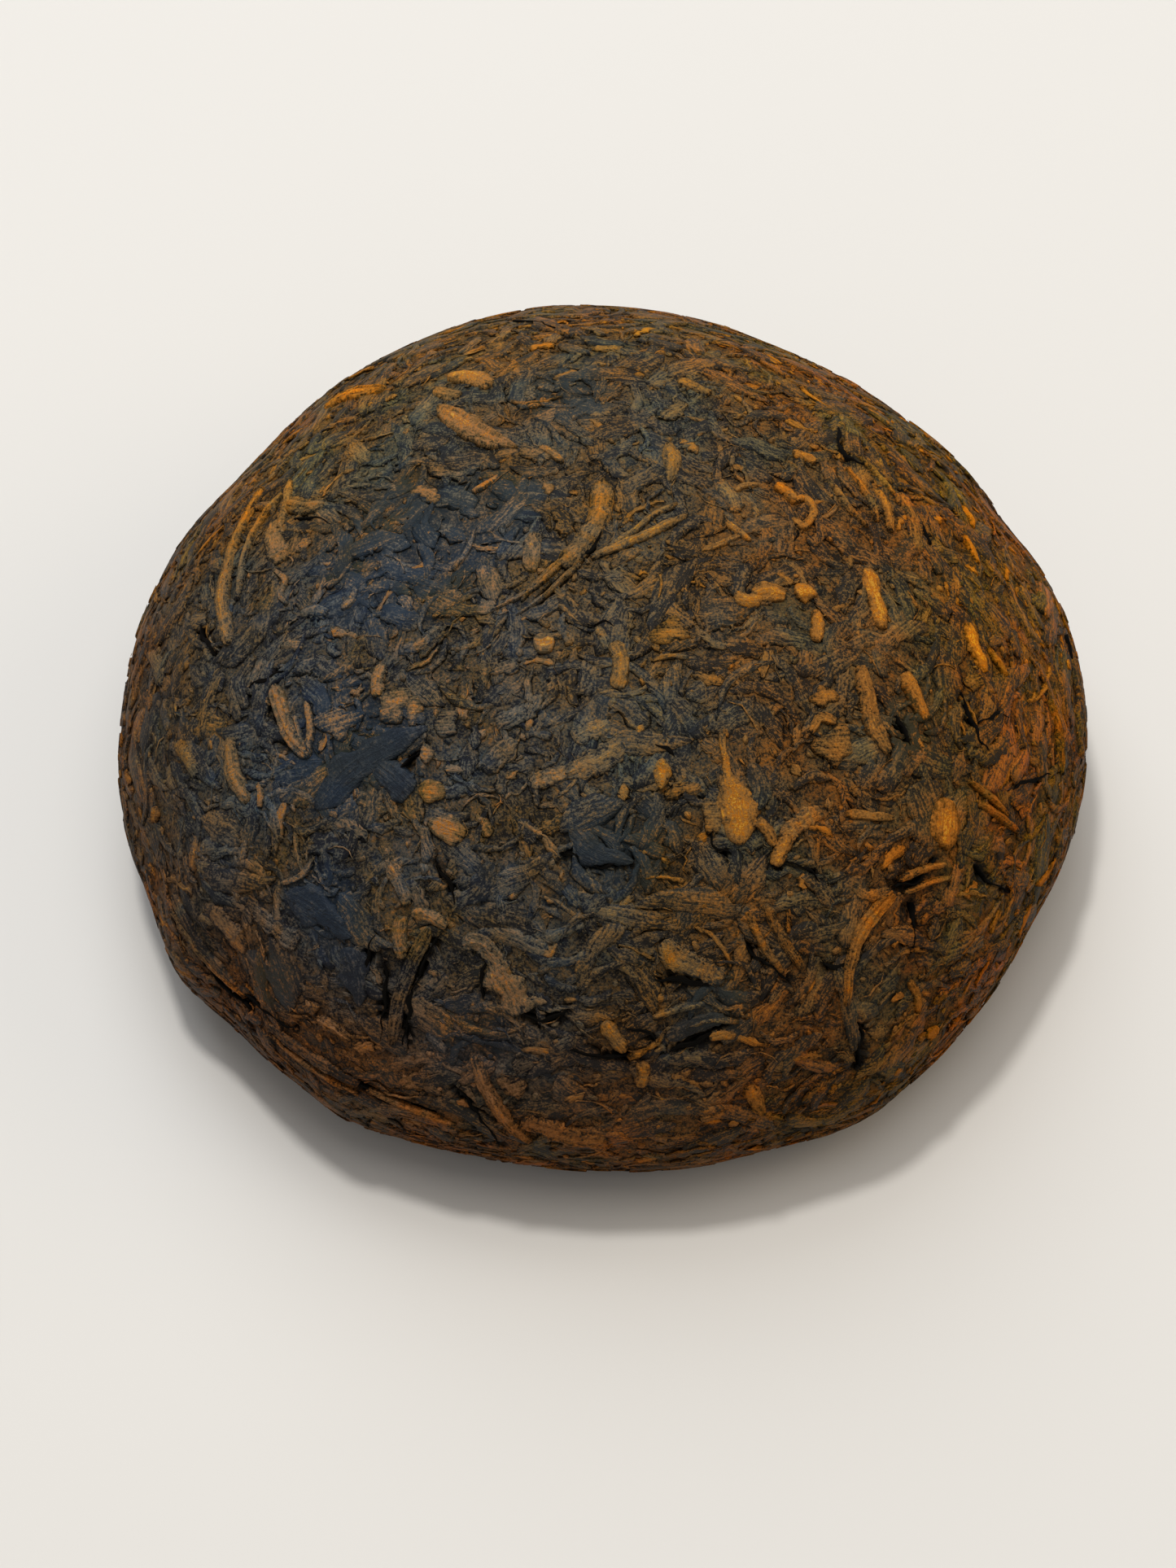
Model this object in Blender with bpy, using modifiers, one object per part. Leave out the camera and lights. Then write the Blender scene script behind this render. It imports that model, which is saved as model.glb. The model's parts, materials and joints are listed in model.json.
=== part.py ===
"""A pu-erh tuocha: dark tea leaf pressed into one domed nest that weighs about 100 g.

It rests on its rim with the crown up, and the hollow that the press bag's knot leaves is
underneath. Metres, +Z up, origin at the middle of the underside.
"""

import math

import bmesh
import bpy
from mathutils import Vector, noise

MM = 0.001

# The outside: a dome above its widest ring, and a rounded edge below it down to the rim.
OUTER_RADIUS = 41.8 * MM
HEIGHT = 38.6 * MM
WIDEST_HEIGHT = 10.4 * MM
RIM_OUTER_RADIUS = 35.5 * MM
FLANK_POWER = 1.55
CROWN_POWER = 2.2

# The underside: a flat rim, a rounded lip, the bowl of the hollow and the knot's dimple in it.
RIM_INNER_RADIUS = 31.0 * MM
MOUTH_RADIUS = 27.0 * MM
LIP_HEIGHT = 4.5 * MM
BOWL_HEIGHT = 20.0 * MM
BOWL_POWER = 2.3
DIMPLE_RADIUS = 9.0 * MM
DIMPLE_DEPTH = 4.0 * MM

# How finely the profile is cut up, and how many steps make the full turn.
DOME_STEPS = 13
EDGE_STEPS = 5
LIP_STEPS = 3
BOWL_STEPS = 12
TURN_STEPS = 100

# The dome and the edge meet at the widest ring, where the press leaves no crease.
SOFTENED_REACH = 8.0 * MM
SOFTENING_PASSES = 2

# The plan isn't quite round. Each wave is (waves in a turn, share of the radius, phase).
PLAN_WAVES = (
    (2, 0.0032, math.radians(15)),
    (3, 0.0084, math.radians(-75)),
    (4, 0.0076, math.radians(77)),
    (5, 0.0062, math.radians(84)),
)

# Where the edge stands out or has lost a little leaf: (direction, height of the bump, half width).
EDGE_BUMPS = (
    (math.radians(27), -0.8 * MM, math.radians(4)),
    (math.radians(109), 0.5 * MM, math.radians(6)),
    (math.radians(124), 0.3 * MM, math.radians(4)),
    (math.radians(142), -0.7 * MM, math.radians(8)),
    (math.radians(203), -0.4 * MM, math.radians(4)),
    (math.radians(213), 0.8 * MM, math.radians(4)),
    (math.radians(221), -0.7 * MM, math.radians(5)),
    (math.radians(239), 0.9 * MM, math.radians(4)),
    (math.radians(270), -0.3 * MM, math.radians(6)),
    (math.radians(303), 0.7 * MM, math.radians(6)),
    (math.radians(322), 0.3 * MM, math.radians(9)),
    (math.radians(332), -0.3 * MM, math.radians(5)),
    (math.radians(358), 0.5 * MM, math.radians(12)),
)

# Soft lumps all over, where the leaf packed more or less densely.
LUMP_SIZE = 9.0 * MM
LUMP_DEPTH = 0.45 * MM

# The bag's folds turn in towards the knot and leave shallow pleats in the bowl.
PLEATS = 9
PLEAT_DEPTH = 0.45 * MM
PLEAT_TWIST = math.radians(70)

LEAF_COLOUR = (0.045, 0.027, 0.018, 1.0)
LEAF_ROUGHNESS = 0.62


def dome_points():
    """The dome's profile from the crown down to the widest ring, as (radius, height) pairs."""
    points = []
    for step in range(DOME_STEPS):
        turn = math.radians(90) * (1 - step / DOME_STEPS)
        radius = OUTER_RADIUS * math.cos(turn) ** (2 / CROWN_POWER) if step else 0.0
        rise = math.sin(turn) ** (2 / FLANK_POWER)
        points.append((radius, WIDEST_HEIGHT + (HEIGHT - WIDEST_HEIGHT) * rise))
    return points


def edge_points():
    """The rounded edge from the widest ring down to the rim."""
    points = []
    for step in range(EDGE_STEPS + 1):
        turn = math.radians(90) * step / EDGE_STEPS
        radius = OUTER_RADIUS - (OUTER_RADIUS - RIM_OUTER_RADIUS) * (1 - math.cos(turn))
        points.append((radius, WIDEST_HEIGHT * (1 - math.sin(turn))))
    return points


def softened(points):
    """Evens out the profile near the widest ring, leaving its first and last points."""
    for _ in range(SOFTENING_PASSES):
        evened = list(points)
        for index in range(1, len(points) - 1):
            if abs(points[index][1] - WIDEST_HEIGHT) < SOFTENED_REACH:
                around = (points[index - 1], points[index], points[index], points[index + 1])
                evened[index] = tuple(sum(values) / len(around) for values in zip(*around))
        points = evened
    return points


def lip_points():
    """The flat rim's inner edge and the rounded lip that turns up into the hollow."""
    points = [((RIM_OUTER_RADIUS + RIM_INNER_RADIUS) / 2, 0.0)]
    for step in range(LIP_STEPS):
        turn = math.radians(90) * step / LIP_STEPS
        radius = RIM_INNER_RADIUS - (RIM_INNER_RADIUS - MOUTH_RADIUS) * math.sin(turn)
        points.append((radius, LIP_HEIGHT * (1 - math.cos(turn))))
    return points


def bowl_points():
    """The hollow's roof from the mouth in to the axis, with the knot's dimple at its middle."""
    points = []
    for step in range(BOWL_STEPS + 1):
        turn = math.radians(90) * step / BOWL_STEPS
        radius = MOUTH_RADIUS * math.cos(turn) ** (2 / BOWL_POWER) if step < BOWL_STEPS else 0.0
        height = LIP_HEIGHT + (BOWL_HEIGHT - LIP_HEIGHT) * math.sin(turn)
        dimple = DIMPLE_DEPTH * math.exp(-((radius / DIMPLE_RADIUS) ** 2) * 2)
        points.append((radius, height + dimple))
    return points


def turned_nest(collection):
    """The round nest: its profile turned about Z by a Screw modifier."""
    outline = bmesh.new()
    profile = softened(dome_points() + edge_points()) + lip_points() + bowl_points()
    corners = [outline.verts.new((radius, 0.0, height)) for radius, height in profile]
    for first, second in zip(corners, corners[1:]):
        outline.edges.new((first, second))
    mesh = bpy.data.meshes.new("nest_profile")
    outline.to_mesh(mesh)
    outline.free()
    nest = bpy.data.objects.new("nest_profile", mesh)
    collection.objects.link(nest)
    screw = nest.modifiers.new("turn", "SCREW")
    screw.axis = "Z"
    screw.angle = math.radians(360)
    screw.steps = TURN_STEPS
    screw.render_steps = TURN_STEPS
    screw.use_merge_vertices = True
    screw.merge_threshold = 0.00001
    return nest


def angle_between(first, second):
    """The turn from one direction to another, between minus and plus half a turn."""
    return (first - second + math.pi) % (2 * math.pi) - math.pi


def outer_growth(point, direction):
    """How far the outside stands proud of the round dome at a point, along the radius."""
    radius = math.hypot(point.x, point.y)
    share = radius / OUTER_RADIUS
    growth = sum(size * math.cos(waves * direction - phase) for waves, size, phase in PLAN_WAVES)
    growth *= radius
    for bump_direction, height, half_width in EDGE_BUMPS:
        off = angle_between(direction, bump_direction) / half_width
        growth += height * share**3 * math.exp(-off * off)
    return growth


def pleat_rise(point, direction):
    """How far a pleat of the press bag presses into the bowl's roof at a point."""
    radius = math.hypot(point.x, point.y)
    share = min(radius / MOUTH_RADIUS, 1.0)
    fade = math.sin(math.pi * share) ** 2
    return PLEAT_DEPTH * fade * math.sin(PLEATS * direction + PLEAT_TWIST * PLEATS * share)


def make_uneven(mesh):
    """Moves the turned nest's corners out to the real one's uneven shape; the rim stays flat."""
    shape = bmesh.new()
    shape.from_mesh(mesh)
    shape.normal_update()
    lip_top = LIP_HEIGHT * 0.5
    for corner in shape.verts:
        point = corner.co.copy()
        direction = math.atan2(point.y, point.x)
        radius = math.hypot(point.x, point.y)
        outward = Vector((point.x, point.y, 0.0))
        outward = outward.normalized() if radius > MM else Vector((0.0, 0.0, 0.0))
        under = radius < RIM_INNER_RADIUS and corner.normal.z < 0.0
        if under:
            corner.co.z += pleat_rise(point, direction) if point.z > lip_top else 0.0
            corner.co += outward * radius * PLAN_WAVES[1][1] * math.cos(2 * direction)
        else:
            corner.co += outward * outer_growth(point, direction)
        if point.z > 0.0:
            corner.co += corner.normal * LUMP_DEPTH * noise.noise(point / LUMP_SIZE)
    bmesh.ops.recalc_face_normals(shape, faces=shape.faces[:])
    shape.to_mesh(mesh)
    shape.free()


def stand_on_origin(mesh):
    """Shifts the nest so that the middle of its outline is over the origin."""
    low = Vector([min(corner.co[axis] for corner in mesh.vertices) for axis in range(3)])
    high = Vector([max(corner.co[axis] for corner in mesh.vertices) for axis in range(3)])
    middle = (low + high) / 2
    for corner in mesh.vertices:
        corner.co -= Vector((middle.x, middle.y, low.z))


def pressed_leaf():
    """The dark pressed leaf."""
    material = bpy.data.materials.new("pressed_leaf")
    material.use_nodes = True
    surface = material.node_tree.nodes["Principled BSDF"]
    surface.inputs["Base Color"].default_value = LEAF_COLOUR
    surface.inputs["Roughness"].default_value = LEAF_ROUGHNESS
    surface.inputs["Metallic"].default_value = 0.0
    material.diffuse_color = LEAF_COLOUR
    return material


def build_tuocha():
    """Clears the scene and builds the nest in a collection of its own."""
    for leftover in list(bpy.data.objects):
        bpy.data.objects.remove(leftover)
    collection = bpy.data.collections.new("tuocha")
    bpy.context.scene.collection.children.link(collection)
    turned = turned_nest(collection)
    bpy.context.view_layer.update()
    depsgraph = bpy.context.evaluated_depsgraph_get()
    mesh = bpy.data.meshes.new_from_object(turned.evaluated_get(depsgraph))
    bpy.data.objects.remove(turned)
    make_uneven(mesh)
    stand_on_origin(mesh)
    mesh.shade_smooth()
    mesh.set_sharp_from_angle(angle=math.radians(60))
    mesh.materials.clear()
    mesh.materials.append(pressed_leaf())
    mesh.name = "tea_nest"
    nest = bpy.data.objects.new("tea_nest", mesh)
    collection.objects.link(nest)


build_tuocha()
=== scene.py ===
"""A pu-erh tuocha: one nest of pressed tea leaf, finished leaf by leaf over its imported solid.

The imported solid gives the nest's outline. Here it becomes an envelope: a dark core lies a little
under it, and rolled leaves, buds, stems, crumbs and fibres are pressed flush into it.
"""

import json
import math
import random

import bmesh
import bpy
import numpy as np
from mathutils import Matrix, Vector, kdtree, noise
from mathutils.bvhtree import BVHTree

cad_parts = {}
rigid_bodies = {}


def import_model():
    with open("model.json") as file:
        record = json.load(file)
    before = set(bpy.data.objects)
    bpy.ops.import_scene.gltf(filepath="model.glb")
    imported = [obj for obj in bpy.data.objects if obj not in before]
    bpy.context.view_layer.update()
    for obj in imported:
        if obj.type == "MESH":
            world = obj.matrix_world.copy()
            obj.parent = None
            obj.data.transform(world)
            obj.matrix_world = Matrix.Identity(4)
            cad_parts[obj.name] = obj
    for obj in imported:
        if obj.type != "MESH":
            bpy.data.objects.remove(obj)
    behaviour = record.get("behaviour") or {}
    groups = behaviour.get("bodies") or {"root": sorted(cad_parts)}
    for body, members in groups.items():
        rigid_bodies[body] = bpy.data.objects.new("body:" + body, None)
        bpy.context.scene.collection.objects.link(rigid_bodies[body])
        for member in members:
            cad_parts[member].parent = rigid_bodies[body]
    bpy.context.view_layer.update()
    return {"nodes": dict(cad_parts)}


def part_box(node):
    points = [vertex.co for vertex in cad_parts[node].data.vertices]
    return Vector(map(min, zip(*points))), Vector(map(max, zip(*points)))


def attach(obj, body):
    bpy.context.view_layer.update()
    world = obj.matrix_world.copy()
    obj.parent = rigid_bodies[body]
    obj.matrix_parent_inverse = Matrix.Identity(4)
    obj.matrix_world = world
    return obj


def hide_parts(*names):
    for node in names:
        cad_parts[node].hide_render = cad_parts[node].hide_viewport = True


bl_info = {
    "name": "Pressed Tea Nest",
    "version": (1, 0, 0),
    "blender": (4, 5, 0),
    "location": "View3D > Sidebar > Tea Nest",
    "description": "Builds a nest of pressed tea leaf over its packed solid",
    "category": "Add Mesh",
}

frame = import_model()

MM = 0.001
NODE = "tea_nest"
BODY = "root"
NEST_LOW, NEST_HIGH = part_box(NODE)
NEST_HEIGHT = NEST_HIGH.z - NEST_LOW.z
NEST_RADIUS = (NEST_HIGH.x - NEST_LOW.x) / 2
RIM_OUTER = 0.885 * NEST_RADIUS
CROWN_FROM = 0.62

# How the photograph was taken: its frame in pixels, and where the nest's middle shows in it.
PHOTO_WIDTH = 1445
PHOTO_HEIGHT = 1927
NEST_MIDDLE_PIXEL = (741, 820)
PIXELS_TO_METRE = 14480.0
CAMERA_ELEVATION = math.radians(57)
CAMERA_DISTANCE = 0.415
FOCAL_PIXELS = PIXELS_TO_METRE * CAMERA_DISTANCE
SENSOR_SIDE = 36.0

BENCH = "bench"
PLACE = "leaf_place"
TONE = "leaf_tone"
SIZE = "leaf_size"
LEAN = "leaf_lean"
# How deep a corner lies under the envelope; the finishes paint shade darker the deeper it lies.
SUNK = "leaf_sunk"
# How near a corner is to a piece's side, end or groove; the finishes darken it there, partly fading its
# tone into the leaf around it and partly as painted shade.
EDGE = "leaf_edge"
OUTWARD = "outward"
SURFACE_OUT = "surface_out"
PRESS_LEVEL = "press_level"
COVERS = ("cover_crown", "cover_flank", "cover_under", "cover_all")


def colour_setting(name, description, default):
    """A colour that a user would change."""
    return bpy.props.FloatVectorProperty(
        name=name, description=description, default=default, subtype="COLOR", size=3
    )


class TeaNestSettings(bpy.types.PropertyGroup):
    """Sizes and colours of the tea nest that a user would change."""

    leaf_spacing: bpy.props.FloatProperty(
        name="Leaf spacing",
        description="Least distance between the middles of two dark leaves",
        default=1.75 * MM,
        min=0.5 * MM,
        unit="LENGTH",
    )
    leaf_straying: bpy.props.FloatProperty(
        name="Leaf straying",
        description="How far leaves at the edge turn away from running round it",
        default=math.radians(52),
        subtype="ANGLE",
    )
    core_depth: bpy.props.FloatProperty(
        name="Core depth",
        description="How far the core lies under the pressed surface",
        default=0.26 * MM,
        unit="LENGTH",
    )
    # The darkest leaf's near-black, with the blue of a painted sheen in it.
    blue_black: colour_setting(
        "Blue-black leaf", "The darkest leaf, where it shines a little blue", (0.017, 0.0245, 0.0285)
    )
    black_brown: colour_setting("Black-brown leaf", "Most of the leaf", (0.070, 0.053, 0.031))
    brown: colour_setting("Brown leaf", "The brown leaf", (0.154, 0.090, 0.034))
    tan: colour_setting("Tan stem", "Stems and leaf veins", (0.228, 0.130, 0.042))
    amber: colour_setting("Amber bud", "The deep golden buds", (0.262, 0.090, 0.005))
    gold: colour_setting("Golden bud", "The brightest buds", (0.36, 0.215, 0.042))
    floor_colour: colour_setting("Floor", "The plain floor", (0.61, 0.60, 0.585))
    key_power: bpy.props.FloatProperty(
        name="Key light",
        description="Power of the high light from behind on the left",
        default=3.4,
        subtype="POWER",
    )


# ---------------------------------------------------------------------------------------------
# The photograph's camera, and places on the nest


def measuring_axes():
    """Right, up and forward of a camera that looks straight at the nest's middle."""
    forward = Vector((0.0, math.cos(CAMERA_ELEVATION), -math.sin(CAMERA_ELEVATION)))
    right = Vector((1.0, 0.0, 0.0))
    return right, right.cross(forward), forward


def camera_place():
    """Where the camera stands, and how it is turned so that the nest is off the frame's middle."""
    right, up, forward = measuring_axes()
    middle = Vector((0.0, 0.0, NEST_HEIGHT / 2))
    place = middle - forward * CAMERA_DISTANCE
    aside = (NEST_MIDDLE_PIXEL[0] - PHOTO_WIDTH / 2) / PIXELS_TO_METRE
    above = (PHOTO_HEIGHT / 2 - NEST_MIDDLE_PIXEL[1]) / PIXELS_TO_METRE
    aim = middle - right * aside - up * above
    return place, (aim - place).to_track_quat("-Z", "Y")


def pixel_ray(pixel):
    """The line of sight through a pixel of the photograph."""
    place, turn = camera_place()
    aside = (pixel[0] - PHOTO_WIDTH / 2) / FOCAL_PIXELS
    above = (PHOTO_HEIGHT / 2 - pixel[1]) / FOCAL_PIXELS
    return place, (turn @ Vector((aside, above, -1.0))).normalized()


def bench():
    """The collection for shapes that are only needed while the pieces are made."""
    found = bpy.data.collections.get(BENCH)
    if found is None:
        found = bpy.data.collections.new(BENCH)
        bpy.context.scene.collection.children.link(found)
    return found


def on_bench(name, mesh):
    """Puts a mesh on the bench."""
    helper = bpy.data.objects.new(name, mesh)
    helper.hide_render = True
    bench().objects.link(helper)
    return helper


def plain_mesh(helper, name):
    """The mesh that an object's modifiers give, with its attributes kept."""
    bpy.context.view_layer.update()
    depsgraph = bpy.context.evaluated_depsgraph_get()
    mesh = bpy.data.meshes.new_from_object(
        helper.evaluated_get(depsgraph), preserve_all_data_layers=True, depsgraph=depsgraph
    )
    mesh.name = name
    return mesh


def mesh_of(shape, name):
    """Turns a bmesh into a mesh."""
    mesh = bpy.data.meshes.new(name)
    shape.to_mesh(mesh)
    shape.free()
    return mesh


def show_piece(name, mesh, slot):
    """Makes a finished mesh a piece of the nest."""
    piece = bpy.data.objects.new(name, mesh)
    bpy.context.scene.collection.objects.link(piece)
    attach(piece, BODY)
    return piece


def nest_envelope():
    """The nest's outline as a smooth closed surface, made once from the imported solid."""
    found = bpy.data.objects.get("envelope")
    if found is not None:
        return found
    shape = bmesh.new()
    shape.from_mesh(frame["nodes"][NODE].data)
    bmesh.ops.remove_doubles(shape, verts=shape.verts, dist=0.01 * MM)
    mesh = mesh_of(shape, "envelope_cage")
    mesh.shade_smooth()
    cage = on_bench("envelope_cage", mesh)
    rounding = cage.modifiers.new("rounding", "SUBSURF")
    rounding.levels = 2
    rounding.render_levels = 2
    envelope = on_bench("envelope", plain_mesh(cage, "envelope"))
    envelope.data.materials.clear()
    mark_envelope(envelope.data)
    return envelope


def read_vectors(mesh, name):
    """One vector for each corner of a mesh."""
    values = np.zeros(len(mesh.vertices) * 3, np.float32)
    mesh.vertices.foreach_get(name, values)
    return values.reshape(-1, 3)


def mark_envelope(mesh):
    """Stores which way is out at each corner, and which regions each corner is in."""
    places, outward = read_vectors(mesh, "co"), read_vectors(mesh, "normal")
    attribute = mesh.attributes.new(OUTWARD, "FLOAT_VECTOR", "POINT")
    attribute.data.foreach_set("vector", outward.ravel())
    radius = np.hypot(places[:, 0], places[:, 1])
    under = (radius < RIM_OUTER) & (outward[:, 2] < -0.2)
    crown = ~under & (places[:, 2] > CROWN_FROM * NEST_HEIGHT)
    for name, region in zip(COVERS, (crown, ~under & ~crown, under, np.ones_like(under))):
        attribute = mesh.attributes.new(name, "FLOAT", "POINT")
        attribute.data.foreach_set("value", region.astype(np.float32))


class Sight:
    """Finds the place on the nest that a pixel of the photograph shows."""

    def __init__(self):
        mesh = nest_envelope().data
        corners = [corner.co for corner in mesh.vertices]
        self.tree = BVHTree.FromPolygons(corners, [face.vertices for face in mesh.polygons])

    def place(self, pixel):
        """The point on the nest and the way out there; a pixel past its edge gives the edge."""
        start, way = pixel_ray(pixel)
        point, outward, _, _ = self.tree.ray_cast(start, way)
        if point is None:
            point, outward, _, _ = self.tree.find_nearest(start + way * CAMERA_DISTANCE)
        return point, outward


# ---------------------------------------------------------------------------------------------
# Blanks: the shapes of single leaves, buds, stems, crumbs and fibres


ACROSS = (-1.0, -0.62, 0.0, 0.62, 1.0)


def blank_object(name, shape, collection):
    """Keeps a single leaf's shape, with each corner's place along, across and above it."""
    place = shape.verts.layers.float_vector.new(PLACE)
    for corner in shape.verts:
        corner[place] = corner.co
    bmesh.ops.recalc_face_normals(shape, faces=shape.faces[:])
    mesh = mesh_of(shape, name)
    mesh.shade_smooth()
    blank = bpy.data.objects.new(name, mesh)
    blank.hide_render = True
    collection.objects.link(blank)


def strip_shape(length, width, thickness, bend, outline, ragged, groove, seed, rings=8):
    """A closed strip along X: flat on top as pressed, steep at its sides, bent and ragged."""
    chance = random.Random(seed)
    shape = bmesh.new()
    edge = shape.verts.layers.float.new(EDGE)
    loops = []
    for ring in range(rings):
        along = ring / (rings - 1)
        half = width / 2 * outline(along)
        sides = {sign: chance.uniform(1 - ragged, 1 + ragged) for sign in (-1, 1)}
        x = length * (along - 0.5 + chance.uniform(-0.25, 0.25) * ragged / rings)
        y = bend * (4 * (along - 0.5) ** 2 - 0.33)
        loop = []
        for across in ACROSS:
            out = abs(across) == 1.0
            rise = -0.5 if out else 1.0 - 0.15 * abs(across)
            rise -= groove * math.exp(-((across - 0.1) ** 2) * 12)
            rise += chance.uniform(-0.1, 0.1)
            side = y + across * half * sides[1 if across > 0 else -1]
            corner = shape.verts.new((x, side, rise * thickness))
            corner[edge] = max(abs(across), abs(2 * along - 1) ** 3)
            loop.append(corner)
        bottom = shape.verts.new((x, y, -0.8 * thickness))
        bottom[edge] = 1.0
        loops.append([*loop, bottom])
    close_tube(shape, loops)
    return shape


def close_tube(shape, loops):
    """Joins rings of corners into a closed tube with both ends capped."""
    for first, second in zip(loops, loops[1:]):
        for index in range(len(first)):
            after = (index + 1) % len(first)
            shape.faces.new((first[index], first[after], second[after], second[index]))
    shape.faces.new(loops[0])
    shape.faces.new(list(reversed(loops[-1])))


def torn_ends(along):
    """Outline of a broken strip: nearly full width, a little narrower at its ends."""
    return 0.5 + 0.5 * min(1.0, 4.5 * min(along, 1 - along)) ** 0.7


def blunt(along):
    """Outline of a stem: the same width all along, with rounded ends."""
    return 0.35 + 0.65 * min(1.0, 9.0 * min(along, 1 - along)) ** 0.5


def drop(along):
    """Outline of a bud with a thin tail at its start and a full body at its end."""
    body = math.sin(math.pi * max(0.0, (along - 0.38) / 0.62) ** 1.1)
    return 0.17 + 0.83 * max(0.0, body) ** 0.7


def bud_outline(along):
    """Outline of a bud: widest before its middle and drawn out to a point."""
    return 0.12 + 0.88 * math.sin(math.pi * along**0.8) ** 0.8


def spindle(along):
    """Outline of a crack: widest in its middle and closing at both ends."""
    return 0.1 + 0.9 * math.sin(math.pi * along)


def tapering(along):
    """Outline of a rolled leaf that thins out towards one end."""
    return (0.3 + 0.7 * (1 - along) ** 0.6) * min(1.0, 0.5 + 4 * along)


LEAF_BLANKS = (
    # length, width, thickness, bend (millimetres), outline, raggedness, groove
    (8.6, 3.0, 0.34, 1.00, bud_outline, 0.22, 0.0),
    (7.0, 2.3, 0.34, -1.20, torn_ends, 0.22, 0.0),
    (5.6, 3.4, 0.32, 0.50, bud_outline, 0.26, 0.0),
    (4.8, 2.1, 0.32, -0.50, torn_ends, 0.28, 0.0),
    (7.6, 1.3, 0.36, 1.50, tapering, 0.20, 0.3),
    (5.6, 1.1, 0.36, -1.00, torn_ends, 0.20, 0.3),
    (3.8, 2.5, 0.30, 0.20, torn_ends, 0.32, 0.0),
    (4.4, 1.5, 0.34, 0.70, torn_ends, 0.26, 0.2),
    (3.0, 1.8, 0.30, 0.00, bud_outline, 0.32, 0.0),
    (3.2, 1.0, 0.32, -0.40, torn_ends, 0.28, 0.0),
    (6.4, 1.8, 0.34, -1.60, tapering, 0.22, 0.2),
    (5.0, 0.8, 0.34, 1.30, tapering, 0.20, 0.0),
)

BUD_BLANKS = (
    (3.6, 1.00, 0.34, 0.20, bud_outline, 0.16, 0.0),
    (2.8, 1.20, 0.32, -0.20, torn_ends, 0.32, 0.2),
    (4.4, 0.90, 0.34, 0.50, tapering, 0.18, 0.3),
    (2.0, 1.30, 0.30, 0.00, torn_ends, 0.36, 0.0),
    (1.5, 0.90, 0.30, 0.10, bud_outline, 0.30, 0.0),
    (3.2, 1.60, 0.30, -0.30, torn_ends, 0.36, 0.0),
)

STEM_BLANKS = (
    (4.6, 0.50, 0.30, 0.35, torn_ends, 0.10, 0.3),
    (6.4, 0.62, 0.32, -0.80, torn_ends, 0.10, 0.3),
    (3.4, 0.42, 0.28, 0.20, tapering, 0.12, 0.0),
    (2.4, 0.60, 0.30, -0.10, torn_ends, 0.16, 0.2),
)

FIBRE_BLANKS = (
    (2.4, 0.15, 0.09, 0.35, tapering, 0.10, 0.0),
    (3.4, 0.13, 0.09, -0.60, torn_ends, 0.10, 0.0),
    (1.6, 0.17, 0.10, 0.15, tapering, 0.12, 0.0),
)


def strip_shapes(rows, rings=8):
    """A strip for each row of sizes."""
    for seed, (length, width, thickness, bend, outline, ragged, groove) in enumerate(rows):
        sizes = (length * MM, width * MM, thickness * MM, bend * MM)
        yield strip_shape(*sizes, outline, ragged, groove, seed, rings)


def crumb_shapes():
    """Broken bits of leaf with few faces, no two alike."""
    for seed in range(40, 46):
        chance = random.Random(seed)
        shape = bmesh.new()
        bmesh.ops.create_icosphere(shape, subdivisions=1, radius=0.5 * MM)
        stretch = Vector((chance.uniform(0.9, 1.5), chance.uniform(0.5, 0.9), 0.42))
        edge = shape.verts.layers.float.new(EDGE)
        for corner in shape.verts:
            jitter = chance.uniform(0.75, 1.25)
            corner.co = Vector([a * b * jitter for a, b in zip(corner.co, stretch)])
            corner[edge] = 0.5
        yield shape


def blank_collection(name, shapes):
    """A collection with one blank for each shape, made the first time that it is asked for."""
    found = bpy.data.collections.get(name)
    if found is not None:
        return found
    collection = bpy.data.collections.new(name)
    bench().children.link(collection)
    for index, shape in enumerate(shapes):
        blank_object(f"{name}_{index:02d}", shape, collection)
    return collection


# ---------------------------------------------------------------------------------------------
# Geometry Nodes: leaves scattered over the envelope and pressed into it


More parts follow.
